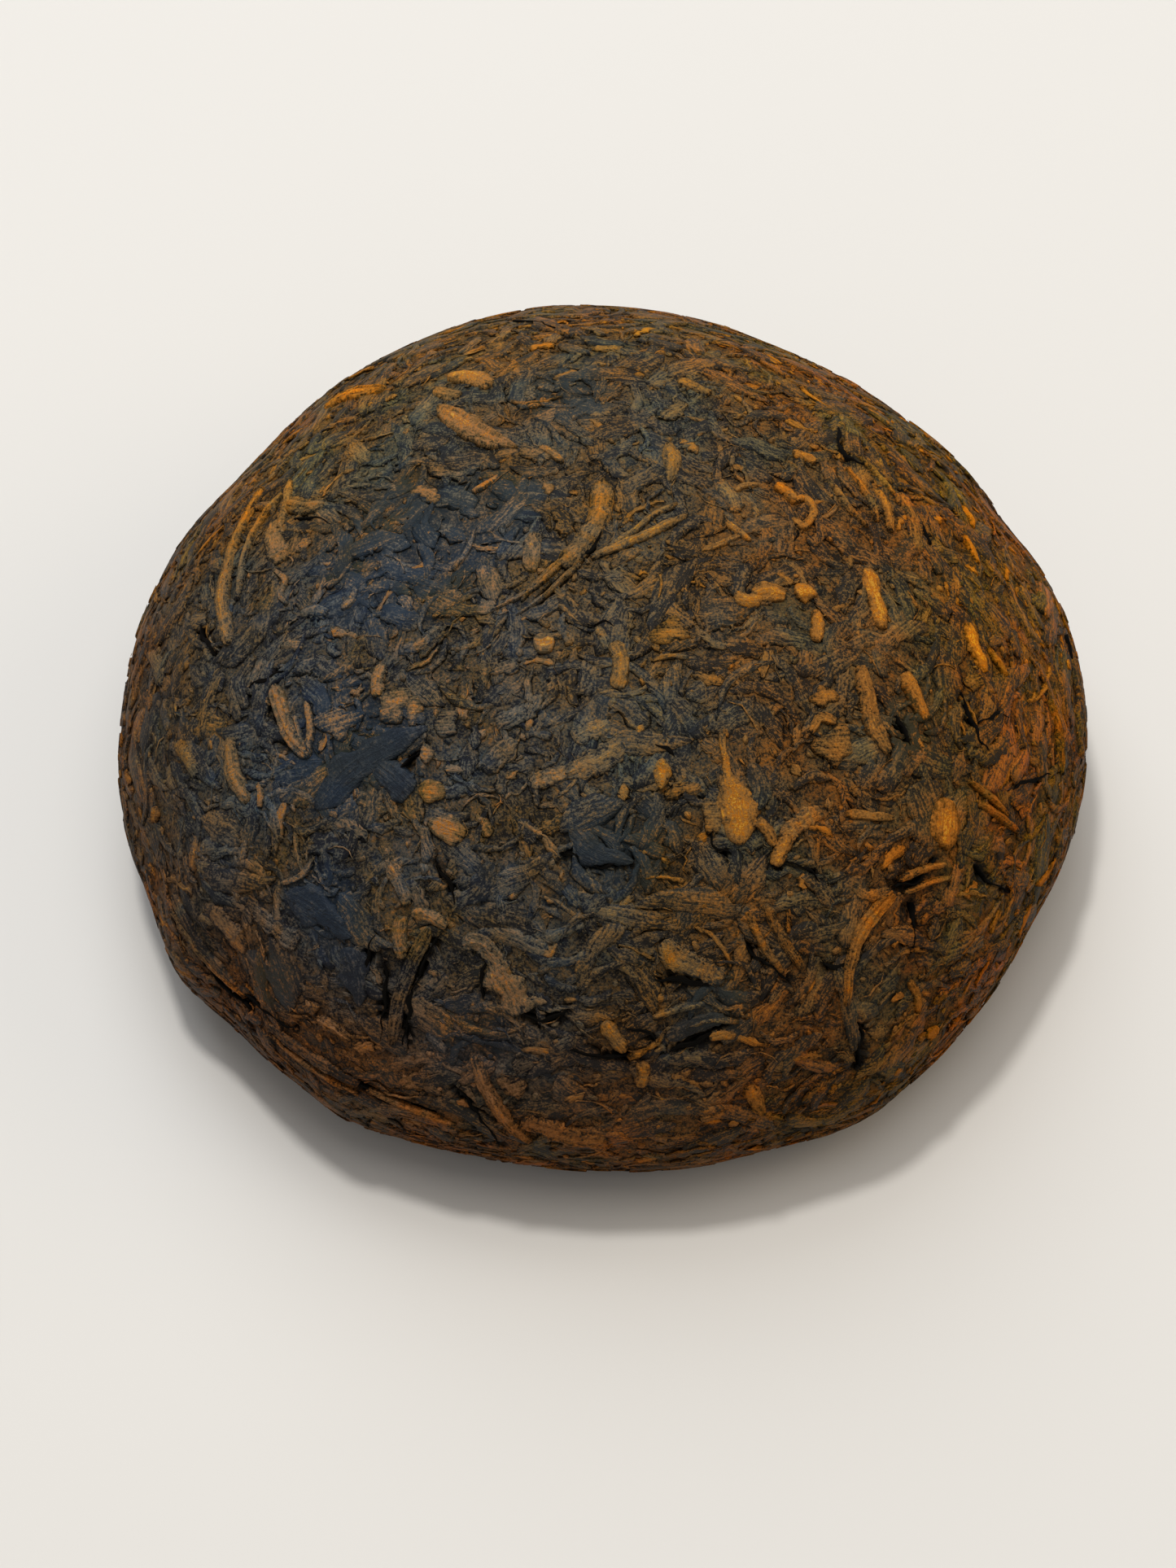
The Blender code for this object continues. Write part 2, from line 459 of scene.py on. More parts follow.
class Wiring:
    """Adds nodes to a tree. Each input is given a value or another node's output."""

    def __init__(self, tree):
        self.tree = tree

    def add(self, kind, inputs=None, **settings):
        """Adds one node and returns its outputs."""
        node = self.tree.nodes.new(kind)
        for name, value in settings.items():
            setattr(node, name, value)
        for key, value in (inputs or {}).items():
            if isinstance(value, bpy.types.NodeSocket):
                self.tree.links.new(value, node.inputs[key])
            else:
                node.inputs[key].default_value = value
        return node.outputs

    def chained(self, operation, values):
        """Takes numbers into one by the same operation."""
        result = values[0]
        for value in values[1:]:
            result = self.maths(operation, result, value)
        return result

    def sum(self, *values):
        """Adds numbers up."""
        return self.chained("ADD", values)

    def product(self, *values):
        """Multiplies numbers."""
        return self.chained("MULTIPLY", values)

    def largest(self, *values):
        """The largest of several numbers."""
        return self.chained("MAXIMUM", values)

    def maths(self, operation, *values):
        """One Math node."""
        return self.add("ShaderNodeMath", dict(enumerate(values)), operation=operation)[0]

    def vector(self, operation, *values):
        """One Vector Math node."""
        return self.add("ShaderNodeVectorMath", dict(enumerate(values)), operation=operation)

    def scaled(self, vector, factor):
        """A vector made longer or shorter."""
        inputs = {"Vector": vector, "Scale": factor}
        return self.add("ShaderNodeVectorMath", inputs, operation="SCALE")[0]

    def joined(self, x, y, z):
        """A vector from three numbers."""
        return self.add("ShaderNodeCombineXYZ", {0: x, 1: y, 2: z})[0]

    def split(self, vector):
        """A vector's three numbers."""
        return self.add("ShaderNodeSeparateXYZ", {0: vector})

    def attribute(self, name, data_type="FLOAT"):
        """Reads a stored attribute in Geometry Nodes."""
        return self.add("GeometryNodeInputNamedAttribute", {"Name": name}, data_type=data_type)[0]

    def stored(self, geometry, name, value, data_type="FLOAT"):
        """Stores an attribute on points."""
        inputs = {"Geometry": geometry, "Name": name, "Value": value}
        settings = {"data_type": data_type, "domain": "POINT"}
        return self.add("GeometryNodeStoreNamedAttribute", inputs, **settings)[0]

    def chance(self, low, high, seed, step):
        """A random number for each point; step keeps one draw apart from the next."""
        inputs = {2: low, 3: high, 8: self.sum(seed, step)}
        return self.add("FunctionNodeRandomValue", inputs, data_type="FLOAT")[1]

    def gap(self, thing, element):
        """How far the nearest face or edge of an object is."""
        geometry = self.add("GeometryNodeObjectInfo", {"Object": thing})["Geometry"]
        return self.add("GeometryNodeProximity", {0: geometry}, target_element=element)["Distance"]

    def eased(self, value, low, high, to_low, to_high):
        """A number moved from one range to another, slowly at both ends."""
        inputs = {0: value, 1: low, 2: high, 3: to_low, 4: to_high}
        return self.add("ShaderNodeMapRange", inputs, interpolation_type="SMOOTHSTEP")[0]


SCATTER_TREE = "press_leaves"

SCATTER_INPUTS = {
    "Geometry": ("Envelope",),
    "Collection": ("Blanks",),
    "String": ("Cover",),
    "Int": ("Seed",),
    "Float": (
        "Spacing", "Smallest", "Largest", "Shallowest", "Deepest", "Press level", "Straying",
        "Darkest", "Lightest", "Clearance",
    ),
    "Object": ("Kept clear", "Cracks"),
    "Material": ("Material",),
}

# Points for each square metre: more than any spacing lets through.
DENSEST = 4000000.0

# How much a leaf may lean, and how far and how deep a crack opens the leaf beside it.
STEEPEST = 0.05
CRACK_REACH = 0.45 * MM
CRACK_DEPTH = 0.9 * MM

# From this share of the nest's radius outwards, leaves start to run round it.
RUNS_ROUND_FROM = 0.55

# How high over the envelope the press lets a leaf stand, and how gently it flattens it there.
HIGHEST = 0.03 * MM
FLATTENING = 0.08 * MM

# How the press tears and wrinkles the leaves: how fine the noise is, and how far it moves them.
TEARS = (1300.0, 1.1 * MM)
WRINKLES = (900.0, 0.3 * MM)

# Each point picks its blank by a number up to this, counted round and round the blanks.
MOST_BLANKS = 1000


def scatter_tree():
    """The node tree that scatters blanks over the envelope and presses them into it."""
    found = bpy.data.node_groups.get(SCATTER_TREE)
    if found is not None:
        return found
    tree = bpy.data.node_groups.new(SCATTER_TREE, "GeometryNodeTree")
    for kind, labels in SCATTER_INPUTS.items():
        for label in labels:
            tree.interface.new_socket(name=label, in_out="INPUT", socket_type=f"NodeSocket{kind}")
    tree.interface.new_socket(name="Leaves", in_out="OUTPUT", socket_type="NodeSocketGeometry")
    wiring = Wiring(tree)
    given = wiring.add("NodeGroupInput")
    points, normal = scatter_points(wiring, given)
    points = describe_points(wiring, given, points)
    size = wiring.attribute(SIZE)
    placing = {
        "Points": points,
        "Instance": wiring.add("GeometryNodeCollectionInfo", {0: given["Blanks"], 1: True, 2: True})[0],
        "Pick Instance": True,
        "Instance Index": random_pick(wiring, given["Seed"]),
        "Rotation": leaf_rotation(wiring, given, normal),
        "Scale": wiring.joined(size, size, size),
    }
    instances = wiring.add("GeometryNodeInstanceOnPoints", placing)[0]
    leaves = wiring.add("GeometryNodeRealizeInstances", {"Geometry": instances})[0]
    leaves = pressed(wiring, given, leaves)
    finished = {"Geometry": leaves, "Material": given["Material"]}
    wiring.add("NodeGroupOutput", {"Leaves": wiring.add("GeometryNodeSetMaterial", finished)[0]})
    return tree


def scatter_points(wiring, given):
    """Points over the covered region, none closer than the spacing, none on what lies on top."""
    spreading = {
        "Mesh": given["Envelope"],
        "Distance Min": given["Spacing"],
        "Density Max": DENSEST,
        "Density Factor": wiring.attribute(given["Cover"]),
        "Seed": given["Seed"],
    }
    kind = "GeometryNodeDistributePointsOnFaces"
    spread = wiring.add(kind, spreading, distribute_method="POISSON")
    points = wiring.stored(spread["Points"], SURFACE_OUT, spread["Normal"], "FLOAT_VECTOR")
    near = wiring.maths("LESS_THAN", wiring.gap(given["Kept clear"], "FACES"), given["Clearance"])
    dropped = {"Geometry": points, "Selection": near}
    points = wiring.add("GeometryNodeDeleteGeometry", dropped, domain="POINT")[0]
    return points, wiring.attribute(SURFACE_OUT, "FLOAT_VECTOR")


def describe_points(wiring, given, points):
    """Gives each leaf its tone, its size, how it leans, how deep it lies and how hard it is pressed."""
    seed = given["Seed"]
    lean = wiring.joined(
        wiring.chance(-STEEPEST, STEEPEST, seed, 3),
        wiring.chance(-STEEPEST, STEEPEST, seed, 4),
        wiring.chance(given["Shallowest"], given["Deepest"], seed, 5),
    )
    points = wiring.stored(points, TONE, wiring.chance(given["Darkest"], given["Lightest"], seed, 1))
    points = wiring.stored(points, SIZE, wiring.chance(given["Smallest"], given["Largest"], seed, 2))
    points = wiring.stored(points, LEAN, lean, "FLOAT_VECTOR")
    return wiring.stored(points, PRESS_LEVEL, wiring.chance(0.0, 1.0, seed, 6))


def random_pick(wiring, seed):
    """Which blank each point takes."""
    inputs = {4: 0, 5: MOST_BLANKS, 8: wiring.sum(seed, 7)}
    return wiring.add("FunctionNodeRandomValue", inputs, data_type="INT")[2]


def leaf_rotation(wiring, given, normal):
    """Lays each leaf flat, running round the nest at its edge and any way on its crown."""
    align = "FunctionNodeAlignRotationToVector"
    position = wiring.add("GeometryNodeInputPosition")[0]
    around = wiring.vector("CROSS_PRODUCT", (0.0, 0.0, 1.0), position)[0]
    flat = wiring.add(align, {"Vector": normal}, axis="Z")[0]
    along = wiring.add(align, {"Rotation": flat, "Vector": around}, axis="X", pivot_axis="Z")[0]
    level = wiring.vector("MULTIPLY", position, (1.0, 1.0, 0.0))[0]
    radius = wiring.vector("LENGTH", level)["Value"]
    starts = RUNS_ROUND_FROM * NEST_RADIUS
    straying = wiring.eased(radius, starts, NEST_RADIUS, math.radians(90), given["Straying"])
    turn = wiring.product(wiring.chance(-1.0, 1.0, given["Seed"], 8), straying)
    flipped = wiring.maths("ROUND", wiring.chance(0.0, 1.0, given["Seed"], 9))
    turn = wiring.sum(turn, wiring.product(flipped, math.pi))
    axis_and_angle = {"Axis": (0.0, 0.0, 1.0), "Angle": turn}
    spin = wiring.add("FunctionNodeAxisAngleToRotation", axis_and_angle)[0]
    turned = {"Rotation": along, "Rotate By": spin}
    return wiring.add("FunctionNodeRotateRotation", turned, rotation_space="LOCAL")[0]


def uneven(wiring, position, scale):
    """Noise round a half at each place: one number, and three of them."""
    return wiring.add("ShaderNodeTexNoise", {"Vector": position, "Scale": scale, "Detail": 2.0})


def pressed(wiring, given, leaves):
    """Bends the leaves to the envelope, flattens what stands above it and opens the cracks."""
    position = wiring.add("GeometryNodeInputPosition")[0]
    tears = uneven(wiring, position, TEARS[0])[1]
    tears = wiring.scaled(wiring.vector("SUBTRACT", tears, (0.5, 0.5, 0.5))[0], TEARS[1])
    position = wiring.vector("ADD", position, tears)[0]
    nearest = {0: given["Envelope"], "Sample Position": position}
    foot = wiring.add("GeometryNodeProximity", nearest, target_element="FACES")[0]
    sampled = {
        "Mesh": given["Envelope"],
        "Value": wiring.attribute(OUTWARD, "FLOAT_VECTOR"),
        "Sample Position": position,
    }
    kind = "GeometryNodeSampleNearestSurface"
    outward = wiring.vector("NORMALIZE", wiring.add(kind, sampled, data_type="FLOAT_VECTOR")[0])[0]
    place = wiring.split(wiring.attribute(PLACE, "FLOAT_VECTOR"))
    lean = wiring.split(wiring.attribute(LEAN, "FLOAT_VECTOR"))
    leaning = wiring.sum(
        place[2], wiring.product(place[0], lean[0]), wiring.product(place[1], lean[1])
    )
    rise = wiring.maths("SUBTRACT", wiring.product(leaning, wiring.attribute(SIZE)), lean[2])
    wrinkle = uneven(wiring, position, WRINKLES[0])[0]
    wrinkle = wiring.product(wiring.maths("SUBTRACT", wrinkle, 0.5), WRINKLES[1])
    rise = wiring.sum(rise, wrinkle)
    level = wiring.product(wiring.attribute(PRESS_LEVEL), given["Press level"])
    level = wiring.maths("SUBTRACT", HIGHEST, level)
    rise = wiring.maths("SMOOTH_MIN", rise, level, FLATTENING)
    rise = wiring.sum(rise, wiring.product(wrinkle, 0.3))
    crack = wiring.eased(wiring.gap(given["Cracks"], "EDGES"), 0.0, CRACK_REACH, CRACK_DEPTH, 0.0)
    rise = wiring.maths("SUBTRACT", rise, crack)
    moved = wiring.vector("ADD", foot, wiring.scaled(outward, rise))[0]
    moved = wiring.vector("MAXIMUM", moved, (-1.0, -1.0, 0.0))[0]
    # How deep each corner lies, where the finishes paint shade.
    leaves = wiring.stored(leaves, SUNK, wiring.product(rise, -1.0))
    return wiring.add("GeometryNodeSetPosition", {"Geometry": leaves, "Position": moved})[0]


def scatter(name, slot, material, cover, seed, spacing, sizes, depths, tones, level, clearance):
    """Scatters one kind of piece over a region of the envelope. Lengths are in millimetres.

    Sizes, depths and tones each run from the least to the most.
    """
    tree = scatter_tree()
    helper = on_bench(f"{name}_scatter", nest_envelope().data)
    press = helper.modifiers.new("press", "NODES")
    press.node_group = tree
    given = {
        "Blanks": scattered_blanks(name),
        "Cover": cover,
        "Seed": seed,
        "Spacing": spacing * MM,
        "Smallest": sizes[0],
        "Largest": sizes[1],
        "Shallowest": depths[0] * MM,
        "Deepest": depths[1] * MM,
        "Press level": level * MM,
        "Straying": bpy.context.scene.tea_nest.leaf_straying,
        "Darkest": tones[0],
        "Lightest": tones[1],
        "Clearance": clearance * MM,
        "Kept clear": bpy.data.objects["kept_clear"],
        "Cracks": bpy.data.objects["crack_lines"],
        "Material": material,
    }
    for item in tree.interface.items_tree:
        if item.name in given:
            press[item.identifier] = given[item.name]
    mesh = plain_mesh(helper, name)
    bpy.data.objects.remove(helper)
    keep_only(mesh, (PLACE, TONE, SUNK, EDGE))
    mesh.materials.clear()
    mesh.materials.append(material)
    show_piece(name, mesh, slot)


def scattered_blanks(name):
    """The blanks that a scattered piece is made of."""
    if name == "crumbs":
        return blank_collection("crumb_blanks", crumb_shapes())
    if name == "fibres":
        return blank_collection("fibre_blanks", strip_shapes(FIBRE_BLANKS, rings=5))
    if name == "stems":
        return blank_collection("stem_blanks", strip_shapes(STEM_BLANKS))
    if name == "golden_tips":
        return blank_collection("bud_blanks", strip_shapes(BUD_BLANKS))
    return blank_collection("leaf_blanks", strip_shapes(LEAF_BLANKS))


def keep_only(mesh, names):
    """Drops attributes that only the making needed."""
    kept = (*names, "material_index")
    making = [
        item.name
        for item in mesh.attributes
        if not (item.is_internal or item.is_required or item.name in kept)
    ]
    for name in making:
        mesh.attributes.remove(mesh.attributes[name])


# ---------------------------------------------------------------------------------------------
# Pieces laid on the nest where the photograph shows them


STRIP_RINGS = 26
STRIP_SECTIONS = 11
FLAKE_SIDES = 20
CRACK_STEPS = 24

# A flake's section from its middle to its rim: the share of the way out, and the share of its rise.
FLAKE_SECTION = ((0.0, 1.0), (0.4, 0.95), (0.7, 0.9), (0.9, 0.75), (1.0, -1.6))

# How far a laid piece reaches down into the leaf under it.
ROOTED = 0.7 * MM


def smooth_route(points, count):
    """Evenly counted points on a smooth curve through the given ones."""
    knots = [Vector(point) for point in points]
    if len(knots) == 2:
        knots.insert(1, (knots[0] + knots[1]) / 2)
    knots = [2 * knots[0] - knots[1], *knots, 2 * knots[-1] - knots[-2]]
    spans = len(knots) - 3
    route = []
    for step in range(count):
        position = step / (count - 1) * spans
        span = min(int(position), spans - 1)
        t = position - span
        before, start, end, after = knots[span : span + 4]
        route.append(
            0.5
            * (
                2 * start
                + (end - before) * t
                + (2 * before - 5 * start + 4 * end - after) * t**2
                + (3 * start - before - 3 * end + after) * t**3
            )
        )
    return route


def torn_sides(done, own, ragged):
    """How far out each side of a strip is at one place along it, where 1 is not torn at all."""
    torn = []
    for side in (0, 9):
        spot = Vector((done / (1.7 * MM), own, side))
        torn.append(1 + ragged * (1.8 * noise.noise(spot) + 0.9 * noise.noise(spot * 4.1)))
    return torn


def section_rise(across, done, own, high, fullness, ridge):
    """How high a strip stands at one place across it: rounded, ridged and uneven."""
    rise = (1 - abs(across) ** 3) * high * fullness
    rise += 0.45 * high * ridge
    return rise + 0.55 * high * noise.noise(Vector((2.2 * across, done / (1.1 * MM), own)))


class LaidPieces:
    """Gathers pieces laid on the nest in one mesh."""

    def __init__(self):
        self.sight = Sight()
        self.shape = bmesh.new()
        layers = self.shape.verts.layers
        self.place = layers.float_vector.new(PLACE)
        self.tone = layers.float.new(TONE)
        self.sunk = layers.float.new(SUNK)
        self.edge = layers.float.new(EDGE)

    def corner(self, point, place, tone, sunk, edge):
        """One corner with what its material reads."""
        made = self.shape.verts.new(point)
        made[self.place] = place
        made[self.tone] = tone
        made[self.sunk] = sunk
        made[self.edge] = edge
        return made

    def strip(self, width, tone, end_tone, ridges, through, outline=torn_ends, *, high, lift, ragged):
        """A strip that follows pixels of the photograph; its width and lift are in millimetres.

        High is its height against that of a full strip of its width.
        """
        chance = random.Random(str(through))
        rings = STRIP_RINGS
        high *= min(0.26, 0.08 + 0.08 * width)
        own = chance.uniform(0, 50)
        route = [self.sight.place(pixel) for pixel in smooth_route(through, rings)]
        length = sum((b[0] - a[0]).length for a, b in zip(route, route[1:]))
        loops = []
        done = 0.0
        for index, (point, outward) in enumerate(route):
            before = route[max(index - 1, 0)][0]
            after = route[min(index + 1, rings - 1)][0]
            done += (point - before).length
            side = outward.cross(after - before).normalized()
            along = index / (rings - 1)
            half = width * MM / 2 * outline(along)
            torn = torn_sides(done, own, ragged)
            fullness = min(1.0, 0.45 + 3 * min(along, 1 - along))
            bow = noise.noise(point / (1.2 * MM)) * 0.1
            astray = noise.noise(point / (1.4 * MM)) * 0.5 * ragged * MM
            own_tone = tone + (end_tone - tone) * along
            own_tone *= 1 + 0.25 * noise.noise(Vector((done / (1.6 * MM), own, 4.0)))
            loop = []
            for step in range(STRIP_SECTIONS):
                across = -1 + 2 * step / (STRIP_SECTIONS - 1)
                ridge = math.cos(ridges * math.pi * across)
                rise = section_rise(across, done, own, high, fullness, ridge if ridges else 0.0)
                rise += lift + bow + chance.uniform(-0.025, 0.025)
                if abs(across) == 1.0:
                    rise = -0.35
                off = across * half * torn[across > 0] + astray
                target = point + side * off + outward * rise * MM
                # Sides, ends and the grooves between ridges count as edge, which the finish darkens as
                # painted shade.
                edge = max(abs(across), abs(2 * along - 1) ** 4, 0.38 - 0.38 * ridge)
                place = (done - length / 2, off, rise * MM)
                loop.append(self.corner(target, place, own_tone, 0.0, edge))
            bottom = point - outward * ROOTED
            loop.append(self.corner(bottom, (done, 0.0, -ROOTED), own_tone, ROOTED, 1.0))
            loops.append(loop)
        close_tube(self.shape, loops)

    def flake(self, at, length, width, turn, tone, ragged, high=0.11, lift=0.03):
        """A broken flake round one pixel; turn is in degrees from the photograph's right."""
        sides = FLAKE_SIDES
        chance = random.Random(str(at))
        point, outward = self.sight.place(at)
        spot, _ = self.sight.place((at[0] + 6, at[1]))
        right = (spot - point).normalized()
        up = outward.cross(right).normalized()
        heading = math.radians(turn)
        ahead = right * math.cos(heading) + up * math.sin(heading)
        aside = outward.cross(ahead)
        phases = [chance.uniform(0, 2 * math.pi) for _ in range(4)]
        loops = []
        for share, rise in FLAKE_SECTION:
            loop = []
            for side in range(sides if share else 1):
                angle = 2 * math.pi * side / sides
                rim = 1 + ragged * sum(
                    math.sin((waves + 2) * angle + phase) / (1 + 0.3 * waves)
                    for waves, phase in enumerate(phases)
                )
                x = math.cos(angle) * length / 2 * share * rim * MM
                y = math.sin(angle) * width / 2 * share * rim * MM
                height = (rise * high + lift + chance.uniform(-0.04, 0.04)) * MM
                foot, away, _, _ = self.sight.tree.find_nearest(point + ahead * x + aside * y)
                loop.append(self.corner(foot + away * height, (x, y, height), tone, 0.0, share))
            loops.append(loop)
        bottom = self.corner(point - outward * ROOTED, (0, 0, 0), tone, ROOTED, 1.0)
        for side in range(sides):
            after = (side + 1) % sides
            self.shape.faces.new((loops[0][0], loops[1][side], loops[1][after]))
            self.shape.faces.new((bottom, loops[-1][after], loops[-1][side]))
            for inner, outer in zip(loops[1:], loops[2:]):
                self.shape.faces.new((inner[side], outer[side], outer[after], inner[after]))

    def finished(self, name):
        """The gathered mesh, its faces pointing out."""
        bmesh.ops.recalc_face_normals(self.shape, faces=self.shape.faces[:])
        mesh = mesh_of(self.shape, name)
        mesh.shade_smooth()
        return mesh


def line_shape(routes):
    """Edges along pixel routes of the photograph, on the nest."""
    sight = Sight()
    shape = bmesh.new()
    for route in routes:
        places = [sight.place(pixel)[0] for pixel in smooth_route(route, CRACK_STEPS)]
        corners = [shape.verts.new(place) for place in places]
        for first, second in zip(corners, corners[1:]):
            shape.edges.new((first, second))
    return shape


# Cracks and pits between the leaves, with painted shadow laid in each: width in millimetres, and the
# pixels that they run through.
CRACKS = (
    (0.5, ((632, 393), (660, 396), (684, 402))),
    (1.1, ((1029, 524), (1032, 546), (1040, 562), (1062, 568))),
    (0.6, ((742, 654), (722, 674), (704, 692))),
    (0.5, ((697, 706), (680, 720), (664, 734))),
    (0.5, ((306, 846), (326, 832), (352, 820))),
    (0.4, ((330, 850), (340, 884), (362, 922))),
    (0.3, ((470, 962), (492, 944), (520, 918))),
    (0.8, ((540, 1146), (519, 1186), (504, 1226), (494, 1284))),
    (0.6, ((470, 1184), (473, 1230), (468, 1280))),
    (0.9, ((822, 1292), (850, 1282), (884, 1264))),
    (0.7, ((804, 1204), (850, 1206), (892, 1206))),
    (0.5, ((690, 1048), (730, 1062), (772, 1060))),
    (0.7, ((1246, 970), (1266, 958), (1292, 952))),
    (0.6, ((1052, 1252), (1057, 1280), (1056, 1312))),
    (0.5, ((806, 912), (822, 921), (832, 928))),
    (0.8, ((244, 768), (250, 788), (262, 802))),
    (0.6, ((1108, 600), (1128, 636), (1146, 668))),
    (0.5, ((1180, 850), (1205, 905), (1215, 925))),
    (0.5, ((462, 1150), (448, 1180), (440, 1212))),
    (0.4, ((872, 1020), (878, 1040), (900, 1048))),
    (0.6, ((700, 1290), (740, 1300), (770, 1296))),
    (0.4, ((960, 1060), (990, 1066), (1010, 1080))),
    (0.5, ((1312, 780), (1322, 822), (1328, 864))),
    (0.4, ((360, 640), (382, 634), (404, 646))),
    (0.4, ((530, 1058), (548, 1082), (560, 1110))),
    (0.5, ((640, 1246), (670, 1252), (700, 1244))),
    (0.5, ((300, 1220), (330, 1246), (362, 1262))),
    (0.5, ((240, 1170), (270, 1208), (306, 1240))),
    (0.5, ((430, 1330), (480, 1356), (530, 1372))),
    (0.5, ((560, 1340), (590, 1372), (616, 1410))),
    (0.5, ((920, 1160), (944, 1188), (972, 1204))),
    (0.6, ((1008, 1186), (1030, 1192), (1044, 1186))),
    (0.5, ((1120, 1110), (1126, 1140), (1122, 1166))),
    (0.5, ((770, 1262), (790, 1270), (806, 1282))),
    (0.4, ((1200, 1062), (1216, 1082), (1240, 1096))),
    (0.4, ((1150, 1052), (1130, 1080), (1102, 1090))),
    (0.4, ((730, 768), (742, 764), (754, 770))),
    (0.5, ((1206, 890), (1222, 878), (1240, 884))),
    (0.5, ((1100, 880), (1112, 896), (1118, 916))),
    (0.4, ((600, 1180), (590, 1200), (596, 1226))),
)

# Pieces that the photograph shows: width in millimetres, tone at the start and at the end,
# ridges along it, the pixels that it runs through, and its outline unless that is torn_ends.
STEMS = (
    (2.10, 0.57, 0.38, 1, ((741, 590), (737, 630), (717, 664), (692, 696)), blunt),
    (0.75, 0.50, 0.42, 1, ((700, 680), (676, 704), (646, 728), (604, 750)), tapering),
    (0.65, 0.42, 0.36, 1, ((712, 692), (688, 714), (660, 738), (634, 756)), tapering),
    (0.60, 0.46, 0.34, 1, ((688, 688), (660, 714), (640, 738)), tapering),
    (0.90, 0.66, 0.52, 1, ((844, 632), (806, 650), (770, 666), (726, 684))),
    (0.65, 0.58, 0.48, 1, ((832, 618), (802, 632), (776, 654), (746, 672))),
    (1.60, 0.70, 0.64, 3, ((756, 788), (763, 815), (758, 846)), blunt),
    (0.90, 0.48, 0.42, 0, ((734, 770), (740, 782), (746, 798))),
    (1.55, 0.72, 0.62, 3, ((336, 842), (345, 872), (356, 902), (380, 930)), blunt),
    (0.80, 0.66, 0.60, 1, ((376, 862), (380, 890), (379, 922))),
    (0.50, 0.50, 0.45, 0, ((362, 878), (366, 896), (373, 916)), tapering),
    (1.30, 0.68, 0.58, 2, ((322, 600), (296, 646), (280, 690), (272, 748))),
    (1.60, 0.66, 0.54, 2, ((282, 692), (272, 722), (274, 760), (280, 792))),
    (0.85, 0.54, 0.46, 1, ((346, 606), (318, 640), (300, 682), (290, 736))),
    (1.00, 0.60, 0.52, 1, ((356, 590), (350, 622), (342, 650))),
    (1.90, 0.52, 0.46, 2, ((350, 616), (374, 622), (398, 618))),
    (0.55, 0.70, 0.60, 0, ((580, 604), (598, 594), (614, 584))),
    (0.55, 0.62, 0.56, 0, ((903, 603), (914, 596), (932, 596))),
    (0.70, 0.56, 0.50, 1, ((892, 640), (906, 652), (922, 664))),
    (0.60, 0.58, 0.50, 0, ((862, 676), (884, 668), (912, 656))),
    (1.75, 0.68, 0.56, 3, ((1058, 818), (1065, 850), (1074, 890), (1092, 925))),
    (0.80, 0.50, 0.44, 2, ((1040, 574), (1066, 606), (1080, 640))),
    (0.70, 0.46, 0.44, 1, ((1018, 588), (1040, 618), (1066, 646))),
    (0.90, 0.60, 0.62, 2, ((1078, 600), (1090, 622), (1096, 652))),
    (0.55, 0.46, 0.44, 0, ((1058, 560), (1080, 584), (1100, 606))),
    (1.85, 0.71, 0.63, 3, ((1098, 1098), (1066, 1134), (1046, 1180), (1040, 1236)), tapering),
    (0.70, 0.44, 0.40, 1, ((1106, 1082), (1132, 1070), (1164, 1062))),
    (0.60, 0.46, 0.42, 1, ((1112, 1098), (1140, 1086), (1168, 1078))),
    (1.35, 0.22, 0.18, 3, ((527, 1142), (505, 1186), (490, 1230), (481, 1284)), blunt),
    (1.50, 0.60, 0.50, 2, ((493, 1126), (491, 1150), (494, 1178))),
    (1.30, 0.58, 0.62, 1, ((506, 1122), (526, 1126), (548, 1140))),
    (1.10, 0.60, 0.56, 2, ((388, 1252), (408, 1262), (430, 1280))),
    (0.70, 0.42, 0.36, 1, ((802, 1250), (836, 1240), (866, 1234))),
    (0.60, 0.36, 0.30, 1, ((846, 1262), (874, 1254), (908, 1256))),
    (0.60, 0.64, 0.52, 0, ((336, 700), (350, 712), (344, 730), (352, 742))),
    (1.25, 0.42, 0.36, 1, ((370, 754), (386, 750), (402, 752))),
    (0.85, 0.50, 0.42, 0, ((420, 748), (432, 736), (438, 720))),
    (1.10, 0.46, 0.40, 2, ((496, 798), (518, 790), (546, 766))),
    (0.40, 0.60, 0.45, 0, ((811, 704), (812, 720), (808, 738)), tapering),
    (1.00, 0.38, 0.32, 2, ((940, 1112), (960, 1150), (986, 1190))),
    (0.80, 0.34, 0.30, 1, ((918, 1120), (936, 1158), (962, 1196))),
    (1.00, 0.44, 0.34, 3, ((1290, 860), (1302, 900), (1304, 950))),
    (1.40, 0.58, 0.62, 2, ((582, 1298), (598, 1340), (622, 1378), (650, 1404))),
    (0.60, 0.54, 0.46, 0, ((345, 1086), (370, 1076), (386, 1054))),
    (0.70, 0.46, 0.36, 1, ((1192, 960), (1216, 978), (1240, 1002))),
    (0.80, 0.48, 0.36, 1, ((1198, 984), (1226, 1000), (1252, 1022))),
    (0.50, 0.50, 0.40, 0, ((800, 812), (822, 806), (846, 808))),
    (0.45, 0.44, 0.36, 0, ((556, 700), (574, 676), (584, 648))),
    (0.70, 0.40, 0.30, 1, ((210, 1120), (250, 1178), (300, 1226))),
    (0.60, 0.36, 0.30, 1, ((330, 1270), (382, 1314), (440, 1346))),
    (0.60, 0.38, 0.30, 1, ((450, 1340), (500, 1362), (560, 1384))),
)

